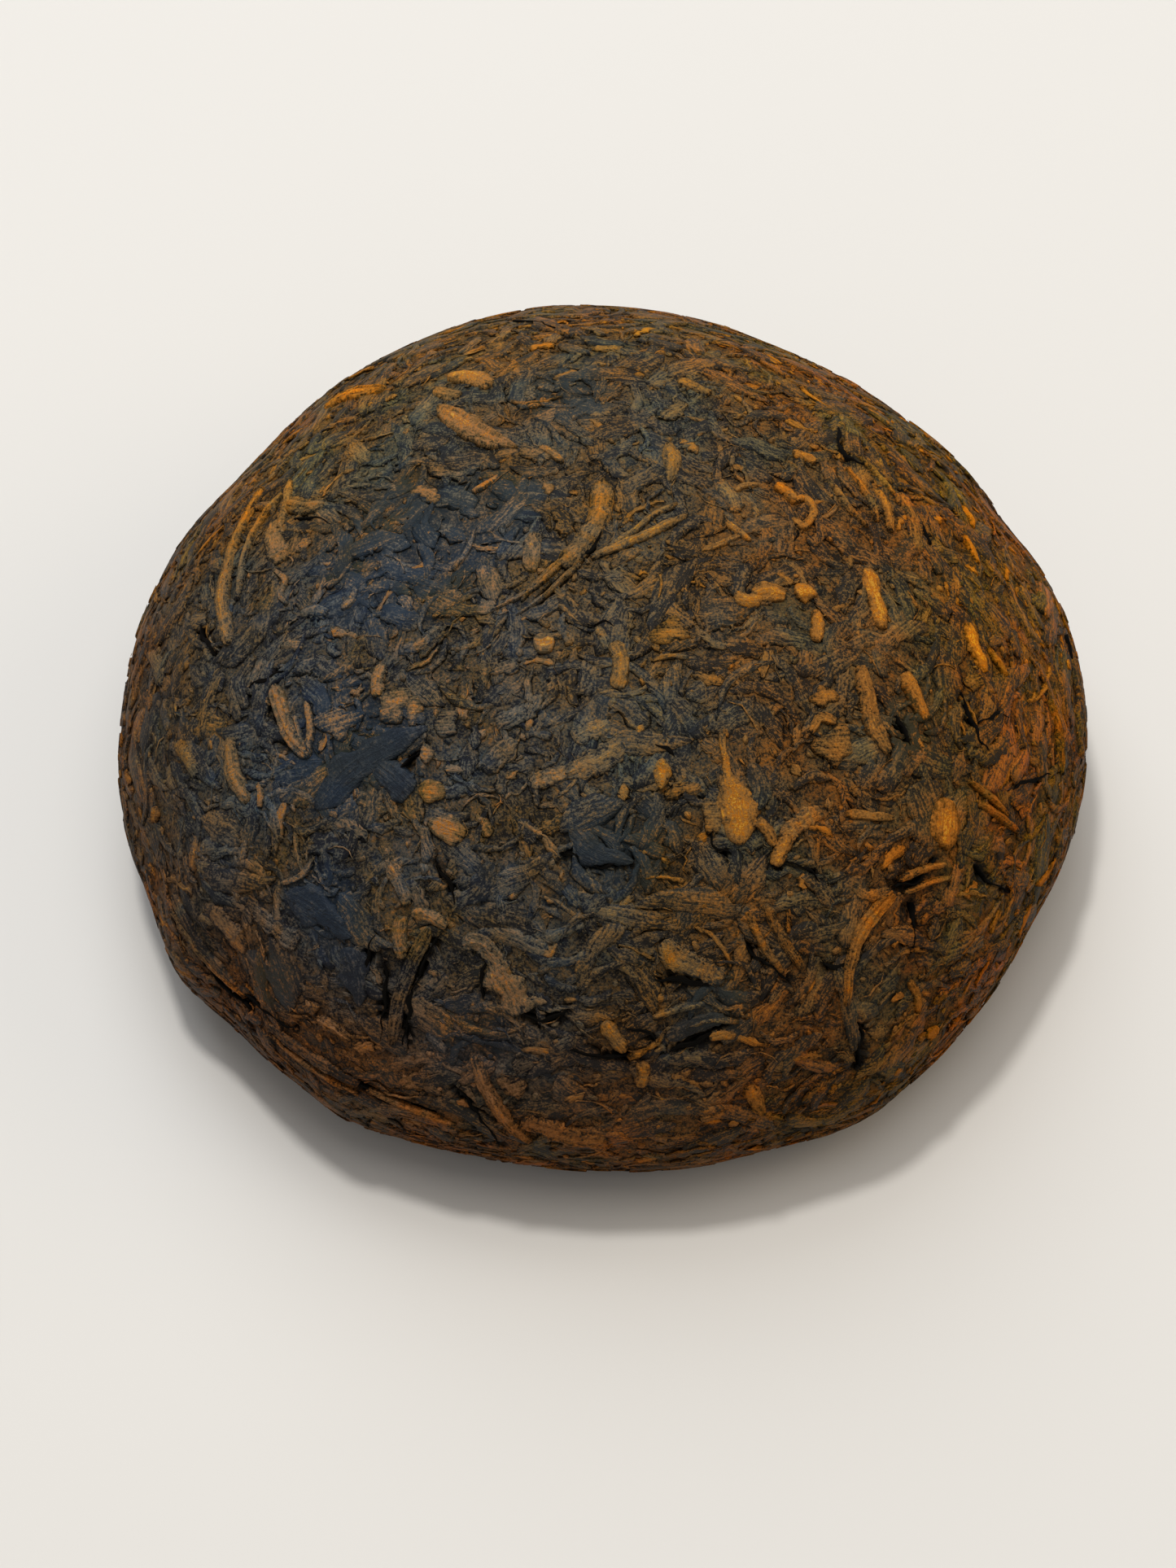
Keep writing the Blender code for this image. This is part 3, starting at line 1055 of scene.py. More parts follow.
BUDS = (
    (3.70, 0.57, 0.83, 0, ((887, 902), (893, 945), (904, 990), (911, 1038)), drop),
    (1.75, 0.96, 0.90, 1, ((1067, 698), (1075, 728), (1086, 772))),
    (1.50, 0.92, 0.84, 1, ((1190, 766), (1199, 795), (1212, 826))),
    (1.80, 0.78, 0.70, 1, ((1112, 826), (1126, 856), (1138, 884))),
    (1.45, 0.72, 0.82, 1, ((903, 730), (920, 738), (936, 734))),
    (1.80, 0.82, 0.78, 2, ((926, 730), (946, 726), (965, 731))),
    (1.90, 0.84, 0.78, 1, ((978, 730), (990, 728), (1004, 732)), bud_outline),
    (1.20, 0.72, 0.60, 0, ((1002, 750), (1006, 768), (1003, 788))),
    (1.75, 0.70, 0.58, 2, ((822, 544), (826, 566), (824, 592)), bud_outline),
    (1.90, 0.78, 0.66, 3, ((400, 500), (430, 484), (472, 478))),
    (2.20, 0.84, 0.72, 1, ((552, 462), (578, 462), (604, 472))),
    (1.60, 0.66, 0.52, 1, ((534, 478), (548, 484), (566, 486))),
    (2.60, 0.76, 0.64, 3, ((538, 500), (568, 518), (600, 538), (636, 550)), bud_outline),
    (0.80, 0.72, 0.60, 0, ((664, 548), (678, 556), (692, 566))),
    (1.20, 0.76, 0.66, 1, ((954, 594), (966, 602), (978, 614))),
    (1.10, 0.76, 0.66, 0, ((974, 556), (988, 560), (1002, 568))),
    (0.80, 0.74, 0.64, 0, ((972, 616), (990, 612), (1000, 628), (988, 646), (974, 636))),
    (0.75, 0.78, 0.64, 0, ((1184, 622), (1192, 634), (1197, 648))),
    (0.80, 0.78, 0.66, 0, ((1186, 658), (1194, 674), (1203, 692))),
    (1.50, 0.74, 0.70, 1, ((970, 1026), (960, 1044), (952, 1064))),
    (0.90, 0.60, 0.50, 0, ((1040, 1000), (1066, 1002), (1098, 1006))),
    (1.20, 0.56, 0.60, 1, ((930, 1006), (944, 1022), (952, 1040))),
    (1.60, 0.74, 0.62, 1, ((814, 932), (813, 950), (812, 970)), bud_outline),
    (1.60, 0.74, 0.60, 2, ((284, 906), (282, 930), (288, 958), (304, 984))),
    (0.50, 0.76, 0.60, 0, ((316, 962), (320, 975), (318, 992))),
    (1.70, 0.54, 0.44, 1, ((216, 912), (230, 930), (240, 954))),
    (1.60, 0.56, 0.60, 2, ((568, 1160), (586, 1158), (604, 1168))),
    (1.20, 0.70, 0.60, 0, ((818, 1158), (824, 1176), (832, 1194))),
    (0.95, 0.76, 0.66, 0, ((872, 1276), (888, 1272), (904, 1274))),
    (1.40, 0.64, 0.54, 1, ((742, 1256), (754, 1274), (768, 1292))),
    (1.20, 0.76, 0.64, 0, ((786, 1306), (790, 1322), (786, 1336))),
    (1.50, 0.66, 0.54, 1, ((920, 1336), (928, 1352), (938, 1370))),
    (1.50, 0.62, 0.50, 1, ((834, 466), (852, 474), (874, 482))),
    (1.60, 0.58, 0.50, 2, ((656, 654), (652, 678), (652, 702))),
    (1.40, 0.60, 0.66, 1, ((470, 816), (463, 836), (462, 856))),
    (0.90, 0.54, 0.44, 1, ((1214, 796), (1226, 812), (1238, 830))),
    (0.90, 0.56, 0.46, 1, ((1120, 1206), (1128, 1226), (1130, 1244))),
    (0.90, 0.60, 0.50, 0, ((996, 900), (1008, 882), (1028, 886))),
)

BROWN_LEAVES = (
    (1.60, 0.56, 0.50, 0, ((652, 964), (676, 954), (698, 944))),
    (2.20, 0.44, 0.50, 2, ((694, 950), (722, 938), (746, 926), (766, 914))),
    (2.00, 0.50, 0.44, 0, ((704, 908), (724, 898), (750, 890))),
    (2.20, 0.56, 0.46, 0, ((258, 1118), (280, 1142), (302, 1168))),
    (2.40, 0.42, 0.50, 3, ((312, 1122), (340, 1142), (364, 1162))),
    (2.80, 0.68, 0.58, 3, ((640, 1380), (672, 1388), (706, 1400), (748, 1404))),
    (2.20, 0.60, 0.44, 0, ((812, 1160), (832, 1178), (860, 1192), (892, 1200))),
    (2.20, 0.60, 0.52, 0, ((336, 640), (336, 664), (344, 690))),
    (1.50, 0.44, 0.38, 2, ((476, 1060), (490, 1084), (500, 1112))),
    (1.80, 0.62, 0.50, 0, ((966, 1036), (976, 1016), (1010, 996))),
    (2.20, 0.56, 0.66, 3, ((590, 1156), (606, 1178), (622, 1202))),
    (3.30, 0.66, 0.60, 4, ((610, 1186), (624, 1212), (640, 1246))),
    (1.40, 0.48, 0.40, 0, ((1050, 1090), (1072, 1100), (1094, 1096))),
    (1.60, 0.50, 0.44, 0, ((884, 590), (898, 606), (904, 628))),
    (1.80, 0.46, 0.40, 2, ((1110, 606), (1124, 640), (1128, 676))),
)

DARK_LEAVES = (
    (3.60, -0.05, -0.05, 0, ((388, 994), (424, 952), (470, 920), (524, 894)), bud_outline),
    (2.60, -0.05, -0.05, 0, ((462, 944), (484, 960), (502, 978))),
    (3.20, -0.05, -0.05, 0, ((352, 1098), (386, 1118), (432, 1152)), bud_outline),
    (2.80, -0.05, -0.05, 0, ((420, 1166), (434, 1196), (440, 1236)), bud_outline),
    (1.60, -0.04, -0.04, 1, ((820, 1276), (850, 1262), (890, 1250))),
    (1.60, 0.12, 0.08, 2, ((1030, 1190), (1044, 1236), (1052, 1290))),
    (4.20, 0.10, 0.14, 0, ((1128, 962), (1142, 1000), (1146, 1040))),
    (1.50, 0.14, 0.10, 0, ((1190, 970), (1196, 1010), (1184, 1050))),
    (2.20, -0.04, -0.04, 0, ((700, 1020), (730, 1046), (778, 1060)), bud_outline),
    (2.20, -0.04, 0.05, 0, ((604, 1060), (590, 1090), (556, 1122)), bud_outline),
    (1.40, 0.10, 0.06, 1, ((300, 870), (294, 836), (312, 808))),
    (2.00, 0.02, 0.02, 0, ((372, 842), (392, 860), (396, 884))),
    (1.60, 0.24, 0.16, 3, ((212, 1100), (240, 1160), (288, 1214))),
    (1.30, 0.24, 0.14, 3, ((330, 1262), (380, 1300), (440, 1334))),
    (1.50, 0.22, 0.16, 3, ((1318, 790), (1328, 860), (1330, 930))),
    (1.40, 0.18, 0.14, 2, ((1326, 980), (1316, 1040), (1296, 1090))),
    (2.00, 0.22, 0.20, 0, ((1048, 524), (1049, 542), (1051, 559)), blunt),
    (2.20, 0.00, 0.00, 0, ((922, 938), (934, 970), (926, 1000)), bud_outline),
)

# Flakes: the pixel, length and width in millimetres, turn in degrees, tone, raggedness, and for
# some how high it stands and how far it is lifted.
FLAKES = (
    ((668, 790), 1.9, 1.9, 0, 0.94, 0.03, 0.18),
    ((1160, 1012), 4.1, 3.6, 84, 0.84, 0.06, 0.2, 0.2),
    ((530, 972), 2.2, 2.1, 0, 0.74, 0.08),
    ((550, 1019), 3.1, 2.4, -15, 0.76, 0.1),
    ((524, 926), 1.3, 1.5, 0, 0.62, 0.1),
    ((548, 889), 2.2, 2.2, 0, 0.42, 0.12),
    ((414, 888), 3.4, 3.0, 20, 0.53, 0.24),
    ((484, 866), 2.9, 3.0, 10, 0.66, 0.16),
    ((508, 872), 1.6, 2.2, 0, 0.54, 0.2),
    ((190, 1002), 1.4, 1.5, 0, 0.66, 0.12),
    ((1013, 856), 2.2, 2.0, 0, 0.66, 0.2),
    ((1026, 916), 3.2, 3.4, 0, 0.46, 0.2),
    ((1146, 1270), 1.5, 1.5, 0, 0.76, 0.1),
    ((630, 1336), 2.2, 2.0, 20, 0.54, 0.16),
    ((597, 746), 1.5, 1.7, 0, 0.52, 0.15),
    ((822, 776), 2.8, 2.6, 0, 0.5, 0.2),
    ((622, 820), 2.0, 1.6, 20, 0.42, 0.2),
    ((876, 1002), 1.6, 3.4, 0, 0.46, 0.16),
    ((926, 1010), 1.0, 1.0, 0, 0.6, 0.12),
)


# ---------------------------------------------------------------------------------------------
# Finishes


# Painted shade along hairline cracks between leaves: how fine they wind, how wide they are, and what
# share is broken off.
CREASE_SHADE_LINES = ((270.0, 0.013, 0.46), (620.0, 0.022, 0.50))


class Finish(Wiring):
    """A material's nodes."""

    def __init__(self, name):
        self.material = bpy.data.materials.new(name)
        self.material.use_nodes = True
        super().__init__(self.material.node_tree)
        self.surface = self.tree.nodes["Principled BSDF"]

    def read(self, name, output="Fac"):
        """Reads a stored attribute."""
        return self.add("ShaderNodeAttribute", attribute_name=name)[output]

    def places(self):
        """Places on the nest, in metres."""
        return self.add("ShaderNodeTexCoord")["Object"]

    def noise(self, vector, scale, detail=3.0, roughness=0.6, distortion=0.0):
        """Noise between 0 and 1 whose lumps are about 1/scale across."""
        inputs = {"Vector": vector, "Scale": scale, "Detail": detail, "Roughness": roughness}
        return self.add("ShaderNodeTexNoise", {**inputs, "Distortion": distortion})[0]

    def creases(self, places):
        """Painted shade along broken hairlines of two sizes: 1 where a crease runs and 0 elsewhere."""
        found = []
        for scale, width, share in CREASE_SHADE_LINES:
            winding = self.noise(places, scale, 2.0, 0.45, 1.4)
            off = self.maths("ABSOLUTE", self.maths("SUBTRACT", winding, 0.5))
            line = self.ranged(off, 0.2 * width, width, 1.0, 0.0)
            broken = self.ranged(self.noise(places, 1.4 * scale, 1.0), share, share + 0.1)
            found.append(self.product(line, broken))
        return self.largest(*found)

    def wear(self, edge, fleck, amount):
        """How much of a leaf's own tone is left: all at its middle, little at its darkened edge, where
        its tone fades into the leaf around it and shade is painted.
        """
        rough_edge = self.sum(edge, self.ranged(fleck, 0.3, 0.7, -0.6, 0.6))
        return self.ranged(rough_edge, 0.35, 1.0, 1.0, 1.0 - amount)

    def ranged(self, value, low, high, to_low=0.0, to_high=1.0):
        """A number moved from one range to another and held inside it."""
        inputs = {0: value, 1: low, 2: high, 3: to_low, 4: to_high}
        return self.add("ShaderNodeMapRange", inputs)[0]

    def over(self, length, low, high, to_low=0.0, to_high=1.0):
        """A length moved from a range in millimetres to another range."""
        return self.ranged(length, low * MM, high * MM, to_low, to_high)

    def mixed(self, factor, first, second, blend="MIX"):
        """Two colours mixed."""
        inputs = {0: factor, 6: first, 7: second}
        return self.add("ShaderNodeMix", inputs, data_type="RGBA", blend_type=blend)[2]

    def times(self, colour, tint, share=1.0):
        """A colour multiplied by a tint, in part or in full."""
        return self.mixed(share, colour, tint, "MULTIPLY")

    def ramp(self, value, stops):
        """Colours along a scale."""
        node = self.tree.nodes.new("ShaderNodeValToRGB")
        elements = node.color_ramp.elements
        for index, (position, colour) in enumerate(stops):
            element = elements[index] if index < 2 else elements.new(position)
            element.position = position
            element.color = (*colour, 1.0)
        self.tree.links.new(value, node.inputs[0])
        return node.outputs[0]

    def connect(self, socket, value):
        """Gives one of the surface's sockets a value or a node's output."""
        if isinstance(value, bpy.types.NodeSocket):
            self.tree.links.new(value, self.surface.inputs[socket])
        else:
            self.surface.inputs[socket].default_value = value


# Where dark leaf takes a painted blue sheen: the photograph's pixel, and how far it reaches in
# millimetres.
BLUE_SHEEN_PATCHES = (
    ((500, 670), 9.0),
    ((600, 620), 5.0),
    ((430, 925), 6.5),
    ((405, 1115), 4.5),
    ((575, 1275), 4.0),
    ((770, 1035), 4.5),
    ((880, 1230), 3.5),
    ((1120, 890), 3.5),
    ((330, 1210), 3.5),
    ((700, 480), 4.0),
)

# Painted coloured light on the nest: cool sky light on its left, warm light thrown up on its right, at
# its edges and low down, and a golden reflection at its far and right edges.
# Apart from that, one leaf is cooler or warmer than the leaf beside it.
EVEN_TINT = (1.0, 0.98, 0.88, 1.0)
COOL_LIGHT_TINT = (0.84, 0.99, 1.26, 1.0)
WARM_BOUNCE_TINT = (1.74, 0.92, 0.07, 1.0)
WARM_GOLD_BOUNCE_TINT = (1.60, 1.04, 0.22, 1.0)
RUDDY_BOUNCE_TINT = (1.36, 0.80, 0.48, 1.0)
GILT_REFLECTION_TINT = (1.28, 1.30, 0.60, 1.0)
PALE_LIGHT_TINT = (1.02, 1.0, 1.6, 1.0)
COOL_LEAF = (0.64, 1.0, 1.60, 1.0)
WARM_LEAF = (1.27, 0.95, 0.44, 1.0)
BLACK_LEAF = (0.010, 0.009, 0.009)
# Near-black of the painted shade in deep gaps, along hairline cracks and low on the side.
PAINTED_SHADE_BLACK = (0.005, 0.004, 0.003, 1.0)

# Where smooth near-black leaf with its painted blue sheen lies between the cool leaf tint, 0, and the
# warm one, 1.
SMOOTH_HUE = 0.42

# Each finish's roughness and shine, and how much its edges are darkened, partly as painted shade.
LEAF_FINISHES = {
    "dark_leaf": (0.62, 0.13, 0.6),
    "brown_leaf": (0.70, 0.10, 0.9),
    "golden_bud": (0.72, 0.03, 0.8),
    "stem": (0.70, 0.05, 0.8),
    "leaf_crumb": (0.75, 0.08, 0.6),
    "leaf_fibre": (0.70, 0.08, 0.6),
}


def blue_share(finish, places, patch):
    """How much painted blue sheen the near-black leaf takes: most inside the named patches, and a little
    in spots elsewhere.
    """
    sight = Sight()
    shares = [finish.ranged(patch, 0.5, 0.62, 0.0, 0.45)]
    for pixel, reach in BLUE_SHEEN_PATCHES:
        middle = tuple(sight.place(pixel)[0])
        gap = finish.vector("DISTANCE", places, middle)["Value"]
        astray = 0.4 * reach * MM
        gap = finish.sum(gap, finish.ranged(patch, 0.3, 0.7, astray, -astray))
        shares.append(finish.over(gap, 0.6 * reach, 1.15 * reach, 1.0, 0.0))
    return finish.largest(*shares)


def unseen_share(finish, axes):
    """How far a place is out of the photograph's sight: behind, low on the near side or inside."""
    across, back, up = axes
    squares = finish.sum(finish.product(across, across), finish.product(back, back))
    radius = finish.maths("SQRT", squares)
    return finish.largest(
        finish.product(finish.over(back, 4, 16, 0.0, 0.75), finish.over(up, 24, 15)),
        finish.product(finish.over(back, -16, -4, 0.0, 0.65), finish.over(up, 16, 10)),
        finish.product(finish.over(radius, 34, 30, 0.0, 0.8), finish.over(up, 27, 24)),
    )


def side_tint(finish, axes, shade):
    """Painted coloured light: cool light on the nest's left, warm light thrown up on its right, at its
    far edge and low down, and ruddy light low down.

    The tints are the light that the photograph shows, so they fade where it doesn't see the nest. A
    piece's
    shade says how much of a tint it takes: dark leaf takes more of the warm one, bright pieces
    more of the golden reflection.
    """
    across, back, up = axes
    seen = finish.maths("SUBTRACT", 1.0, unseen_share(finish, axes))
    on_right = finish.over(across, 5, 16, 0.0, 0.5)
    at_right_edge = finish.over(across, 22, 33, 0.0, 0.6)
    at_left_edge = finish.over(across, -34, -40, 0.0, 0.15)
    low_down = finish.product(
        finish.over(up, 18, 11, 0.0, 0.5), finish.over(across, -26, -4, 0.3, 1.0)
    )
    on_far_side = finish.over(back, 8, 18, 0.0, 0.14)
    at_far_edge = finish.product(finish.over(up, 34, 25, 0.0, 0.5), finish.over(back, 4, 12))
    # Warm: painted warm light thrown up onto the right, the edges and low down.
    warm = finish.product(
        finish.sum(on_right, at_right_edge, at_left_edge, low_down, on_far_side, at_far_edge),
        finish.ranged(shade, 0.25, 0.70, 1.0, 0.6),
        seen,
    )
    # Ruddy: painted red light thrown up onto dark leaf low down.
    ruddy = finish.product(
        finish.over(up, 25, 13), finish.ranged(shade, 0.15, 0.60, 1.0, 0.3), seen
    )
    # Gilt: a painted golden reflection on bright pieces at the far and right edges.
    gilt = finish.product(
        finish.largest(
            finish.product(finish.over(up, 36, 30), finish.over(back, 4, 12)),
            finish.product(finish.over(across, 22, 32, 0.0, 0.85), finish.over(back, -12, -2)),
        ),
        seen,
        finish.ranged(shade, 0.25, 0.6, 0.4, 1.0),
    )
    # Pale: painted cool light on bright pieces left of the middle.
    pale = finish.product(
        finish.over(across, 2, -8),
        finish.over(across, -35, -28),
        finish.ranged(shade, 0.3, 0.65, 0.0, 0.9),
        seen,
    )
    # Cool: painted cool sky light on the nest's left.
    cool = finish.product(
        finish.over(across, 3, -10),
        finish.over(back, 5, -1),
        finish.over(across, -37, -30),
        finish.over(up, 12, 18),
        finish.ranged(shade, 0.4, 0.7, 1.0, 0.3),
    )
    tint = finish.mixed(cool, EVEN_TINT, COOL_LIGHT_TINT)
    tint = finish.mixed(ruddy, tint, RUDDY_BOUNCE_TINT)
    warm_bounce_tint = finish.mixed(finish.ranged(shade, 0.5, 0.8), WARM_BOUNCE_TINT, WARM_GOLD_BOUNCE_TINT)
    tint = finish.mixed(warm, tint, warm_bounce_tint)
    return finish.times(finish.times(tint, GILT_REFLECTION_TINT, gilt), PALE_LIGHT_TINT, pale)


def tone_ramp(finish, settings, shade):
    """The leaf's colour by its shade, from black through brown and tan to gold."""
    stops = (
        (0.0, BLACK_LEAF),
        (0.16, tuple(settings.black_brown)),
        (0.46, tuple(settings.brown)),
        (0.70, tuple(settings.tan)),
        (0.84, tuple(settings.amber)),
        (0.97, tuple(settings.gold)),
    )
    return finish.ramp(shade, stops)


def fibres_along(finish, along_leaf, tone):
    """Fibres that run along each leaf, each leaf with its own."""
    own_shift = finish.joined(finish.product(tone, 37.0), tone, 0.0)
    stretch = {"Vector": along_leaf, "Scale": (420.0, 4200.0, 900.0)}
    stretched = finish.add("ShaderNodeMapping", stretch)[0]
    return finish.noise(finish.vector("ADD", stretched, own_shift)[0], 1.0, 2.0, 0.65)


def leaf_hue(finish, places, tone, blue, smooth):
    """Whether a leaf is cooler or warmer than its neighbours; golden ones and ones with painted blue
    sheen stay as they are.
    """
    own = finish.joined(finish.product(tone, 25.0), 0.37, 0.0)
    own_hue = finish.ranged(finish.noise(own, 1.0, 1.0), 0.3, 0.7, -0.34, 0.34)
    local_hue = finish.ranged(finish.noise(places, 150.0, 2.0, 0.62), 0.34, 0.66, 0.06, 0.94)
    hue = finish.largest(
        finish.sum(own_hue, local_hue),
        finish.ranged(tone, 0.3, 0.6, 0.0, 0.62),
        finish.ranged(blue, 0.2, 0.7, 0.0, SMOOTH_HUE),
    )
    return finish.ranged(smooth, 0.0, 1.0, hue, SMOOTH_HUE)


def leaf_surface(finish, settings, tone, along_leaf, edge_shade):
    """Colour and relief that leaf and core share, so that the press seems to have fused them; the colour
    also carries painted shade, a painted blue sheen and painted coloured light.
    """
    places = finish.places()
    axes = finish.split(places)
    # Low runs from 0 high on the crown to 1 low on the side; the painted shade grows with it.
    low = finish.ranged(axes[2], 0.86 * NEST_HEIGHT, 0.42 * NEST_HEIGHT)
    fleck = finish.noise(places, 1500.0, 2.0, 0.7)
    grain = finish.noise(places, 4600.0, 2.0, 0.75)
    patch = finish.noise(places, 230.0, 2.0, 0.6, 0.6)
    # Left: the tone kept after the edge darkening, which is partly painted shade at sides and grooves.
    left = finish.wear(finish.read(EDGE), fleck, edge_shade)
    # A tone below nought is a smooth near-black leaf with a painted blue sheen, and little mottling.
    smooth = finish.ranged(tone, -0.08, 0.0, 1.0, 0.0)
    strength = finish.product(
        finish.ranged(smooth, 0.0, 1.0, 1.0, 0.8), finish.ranged(tone, 0.6, 0.84, 1.2, 0.8)
    )
    mottle = finish.sum(
        finish.ranged(fleck, 0.3, 0.7, -0.15, 0.17),
        finish.ranged(grain, 0.3, 0.7, -0.24, 0.24),
        finish.ranged(patch, 0.34, 0.66, -0.09, 0.09),
    )
    height = finish.sum(fleck, grain)
    if along_leaf is not None:
        fibre = fibres_along(finish, along_leaf, tone)
        mottle = finish.sum(mottle, finish.ranged(fibre, 0.34, 0.66, -0.19, 0.17))
        height = finish.sum(height, finish.product(fibre, 1.6))
    shade = finish.sum(finish.product(tone, left), finish.product(mottle, strength))
    # Painted shade along hairline cracks between the leaves, so bright pieces hardly get it, and the
    # crown less than low down.
    creases = finish.product(
        finish.creases(places),
        finish.ranged(low, 0.0, 1.0, 0.45, 1.0),
        finish.ranged(tone, 0.3, 0.6, 1.0, 0.1),
    )
    # Blue: how much painted blue sheen dark leaf takes, inside the patches and on the smooth leaves.
    blue = finish.product(
        blue_share(finish, places, patch), finish.ranged(shade, 0.18, 0.52, 0.80, 0.0)
    )
    blue = finish.ranged(smooth, 0.0, 1.0, blue, finish.ranged(mottle, -0.2, 0.2, 0.25, 0.75))
    colour = tone_ramp(finish, settings, shade)
    colour = finish.mixed(blue, colour, (*settings.blue_black, 1.0))
    hue = leaf_hue(finish, places, tone, blue, smooth)
    colour = finish.times(colour, finish.mixed(hue, COOL_LEAF, WARM_LEAF))
    colour = finish.times(colour, side_tint(finish, axes, shade))
    # Painted shade: darker where a piece lies deep, most of all low down, nearly black along the
    # hairlines, and a little darker all over low on the side.
    sunk = finish.over(finish.read(SUNK), 0.08, 0.42, 0.0, 0.9)
    dark = finish.largest(
        finish.product(sunk, finish.ranged(low, 0.0, 1.0, 0.6, 1.0)),
        finish.product(creases, 0.9),
        finish.ranged(low, 0.0, 1.0, 0.0, 0.17),
    )
    finish.connect("Base Color", finish.mixed(dark, colour, PAINTED_SHADE_BLACK))
    relief = {"Strength": 0.9, "Distance": 0.10 * MM, "Height": height}
    finish.connect("Normal", finish.add("ShaderNodeBump", relief)[0])
    return grain


def tea_leaf(name, settings):
    """Dry tea leaf: its tone picks the colour, fibres run along it and grain lies all over it."""
    found = bpy.data.materials.get(name)
    if found is not None:
        return found
    roughness, shine, edge_shade = LEAF_FINISHES[name]
    finish = Finish(name)
    grain = leaf_surface(finish, settings, finish.read(TONE), finish.read(PLACE, "Vector"), edge_shade)
    finish.connect("Roughness", finish.ranged(grain, 0.3, 0.7, roughness - 0.1, roughness + 0.12))
    finish.connect("Specular IOR Level", shine)
    return finish.material


def core_finish(settings):
    """Leaf packed so tightly between the pressed leaves that none stands out."""
    finish = Finish("packed_core")
    patchy = finish.noise(finish.places(), 700.0, 3.0, 0.6, 1.0)
    leaf_surface(finish, settings, finish.ranged(patchy, 0.3, 0.7, 0.0, 0.34), None, 0.0)
    finish.connect("Roughness", 0.8)
    finish.connect("Specular IOR Level", 0.1)
    return finish.material


def crevice_finish():
    """Near-black paint for the shadow at the bottom of a crack."""
    finish = Finish("crevice_shadow")
    finish.connect("Base Color", (0.003, 0.0025, 0.002, 1.0))
    finish.connect("Roughness", 0.9)
    finish.connect("Specular IOR Level", 0.05)
    return finish.material


# ---------------------------------------------------------------------------------------------
# Operators


class TEANEST_OT_lay_out(bpy.types.Operator):
    """Prepare the envelope, the cracks and what the scattered leaves keep clear of"""

    bl_idname = "teanest.lay_out"
    bl_label = "Lay out"

    def execute(self, context):
        nest_envelope()
        cracks = line_shape([through for _, through in CRACKS])
        on_bench("crack_lines", mesh_of(cracks, "crack_lines"))
        routes = [row[4] for row in STEMS + BUDS + BROWN_LEAVES + DARK_LEAVES]
        flakes = [((x - 5, y), (x + 5, y)) for (x, y), *_ in FLAKES]
        shape = line_shape(routes + flakes)
        # The scatter measures its clearance to faces, so each edge gets a narrow one.
        made = bmesh.ops.extrude_edge_only(shape, edges=shape.edges[:])
        for item in made["geom"]:
            if isinstance(item, bmesh.types.BMVert):
                item.co.z += 0.01 * MM
        on_bench("kept_clear", mesh_of(shape, "kept_clear"))
        return {"FINISHED"}


class TEANEST_OT_press_core(bpy.types.Operator):
    """Press the core that lies under the leaves"""

    bl_idname = "teanest.press_core"
    bl_label = "Press core"

    def execute(self, context):
        settings = context.scene.tea_nest
        mesh = nest_envelope().data.copy()
        mesh.name = "pressed_core"
        crack_points = kdtree.KDTree(len(CRACKS) * CRACK_STEPS)
        for index, corner in enumerate(bpy.data.objects["crack_lines"].data.vertices):
            crack_points.insert(corner.co, index)
        crack_points.balance()
        ways_out = [item.vector.copy() for item in mesh.attributes[OUTWARD].data]
        places = [corner.co.copy() for corner in mesh.vertices]
        pushed, sunk = [], []
        for place, outward in zip(places, ways_out):
            broad = noise.noise(place / (2.2 * MM))
            fine = noise.noise(place / (0.9 * MM))
            depth = settings.core_depth * (1 + 0.5 * broad + 0.4 * fine)
            gap = crack_points.find(place)[2] / (0.5 * MM)
            depth += CRACK_DEPTH * (1 - gap) ** 0.5 if gap < 1 else 0.0
            moved = place - outward * depth
            pushed.extend((moved.x, moved.y, max(moved.z, 0.0)))
            sunk.append(depth)
        mesh.vertices.foreach_set("co", pushed)
        # The core keeps how deep it lies, so that its finish paints shade there.
        attribute = mesh.attributes.new(SUNK, "FLOAT", "POINT")
        attribute.data.foreach_set("value", sunk)
        keep_only(mesh, (SUNK,))
        mesh.materials.append(core_finish(settings))
        mesh.shade_smooth()
        core = show_piece("pressed_core", mesh, "pressed_leaf")
        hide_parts(NODE)
        return {"FINISHED"}


class TEANEST_OT_press_dark_leaves(bpy.types.Operator):
    """Press the black and black-brown leaves over the crown, the flank and the underside"""

    bl_idname = "teanest.press_dark_leaves"
    bl_label = "Press dark leaves"

    def execute(self, context):
        settings = context.scene.tea_nest
        material = tea_leaf("dark_leaf", settings)
        spacing = settings.leaf_spacing / MM
        regions = (("crown", 10, 0.25, 0.15), ("flank", 30, 0.34, 0.32), ("under", 50, 0.30, 0.30))
        for region, seed, lightest, level in regions:
            scatter(
                f"dark_leaves_{region}", "dark_leaf", material, f"cover_{region}", seed,
                spacing=spacing, sizes=(0.5, 1.05), depths=(0.10, 0.42), tones=(0.02, lightest),
                level=level, clearance=0.35,
            )
        return {"FINISHED"}


class TEANEST_OT_press_brown_leaves(bpy.types.Operator):
    """Press the brown leaves between the dark ones"""

    bl_idname = "teanest.press_brown_leaves"
    bl_label = "Press brown leaves"

    def execute(self, context):
        material = tea_leaf("brown_leaf", context.scene.tea_nest)
        for region, seed in (("crown", 100), ("flank", 120), ("under", 140)):
            scatter(
                f"brown_leaves_{region}", "brown_leaf", material, f"cover_{region}", seed,
                spacing=3.0, sizes=(0.35, 0.8), depths=(0.08, 0.32), tones=(0.16, 0.44),
                level=0.26, clearance=0.8,
            )
        return {"FINISHED"}


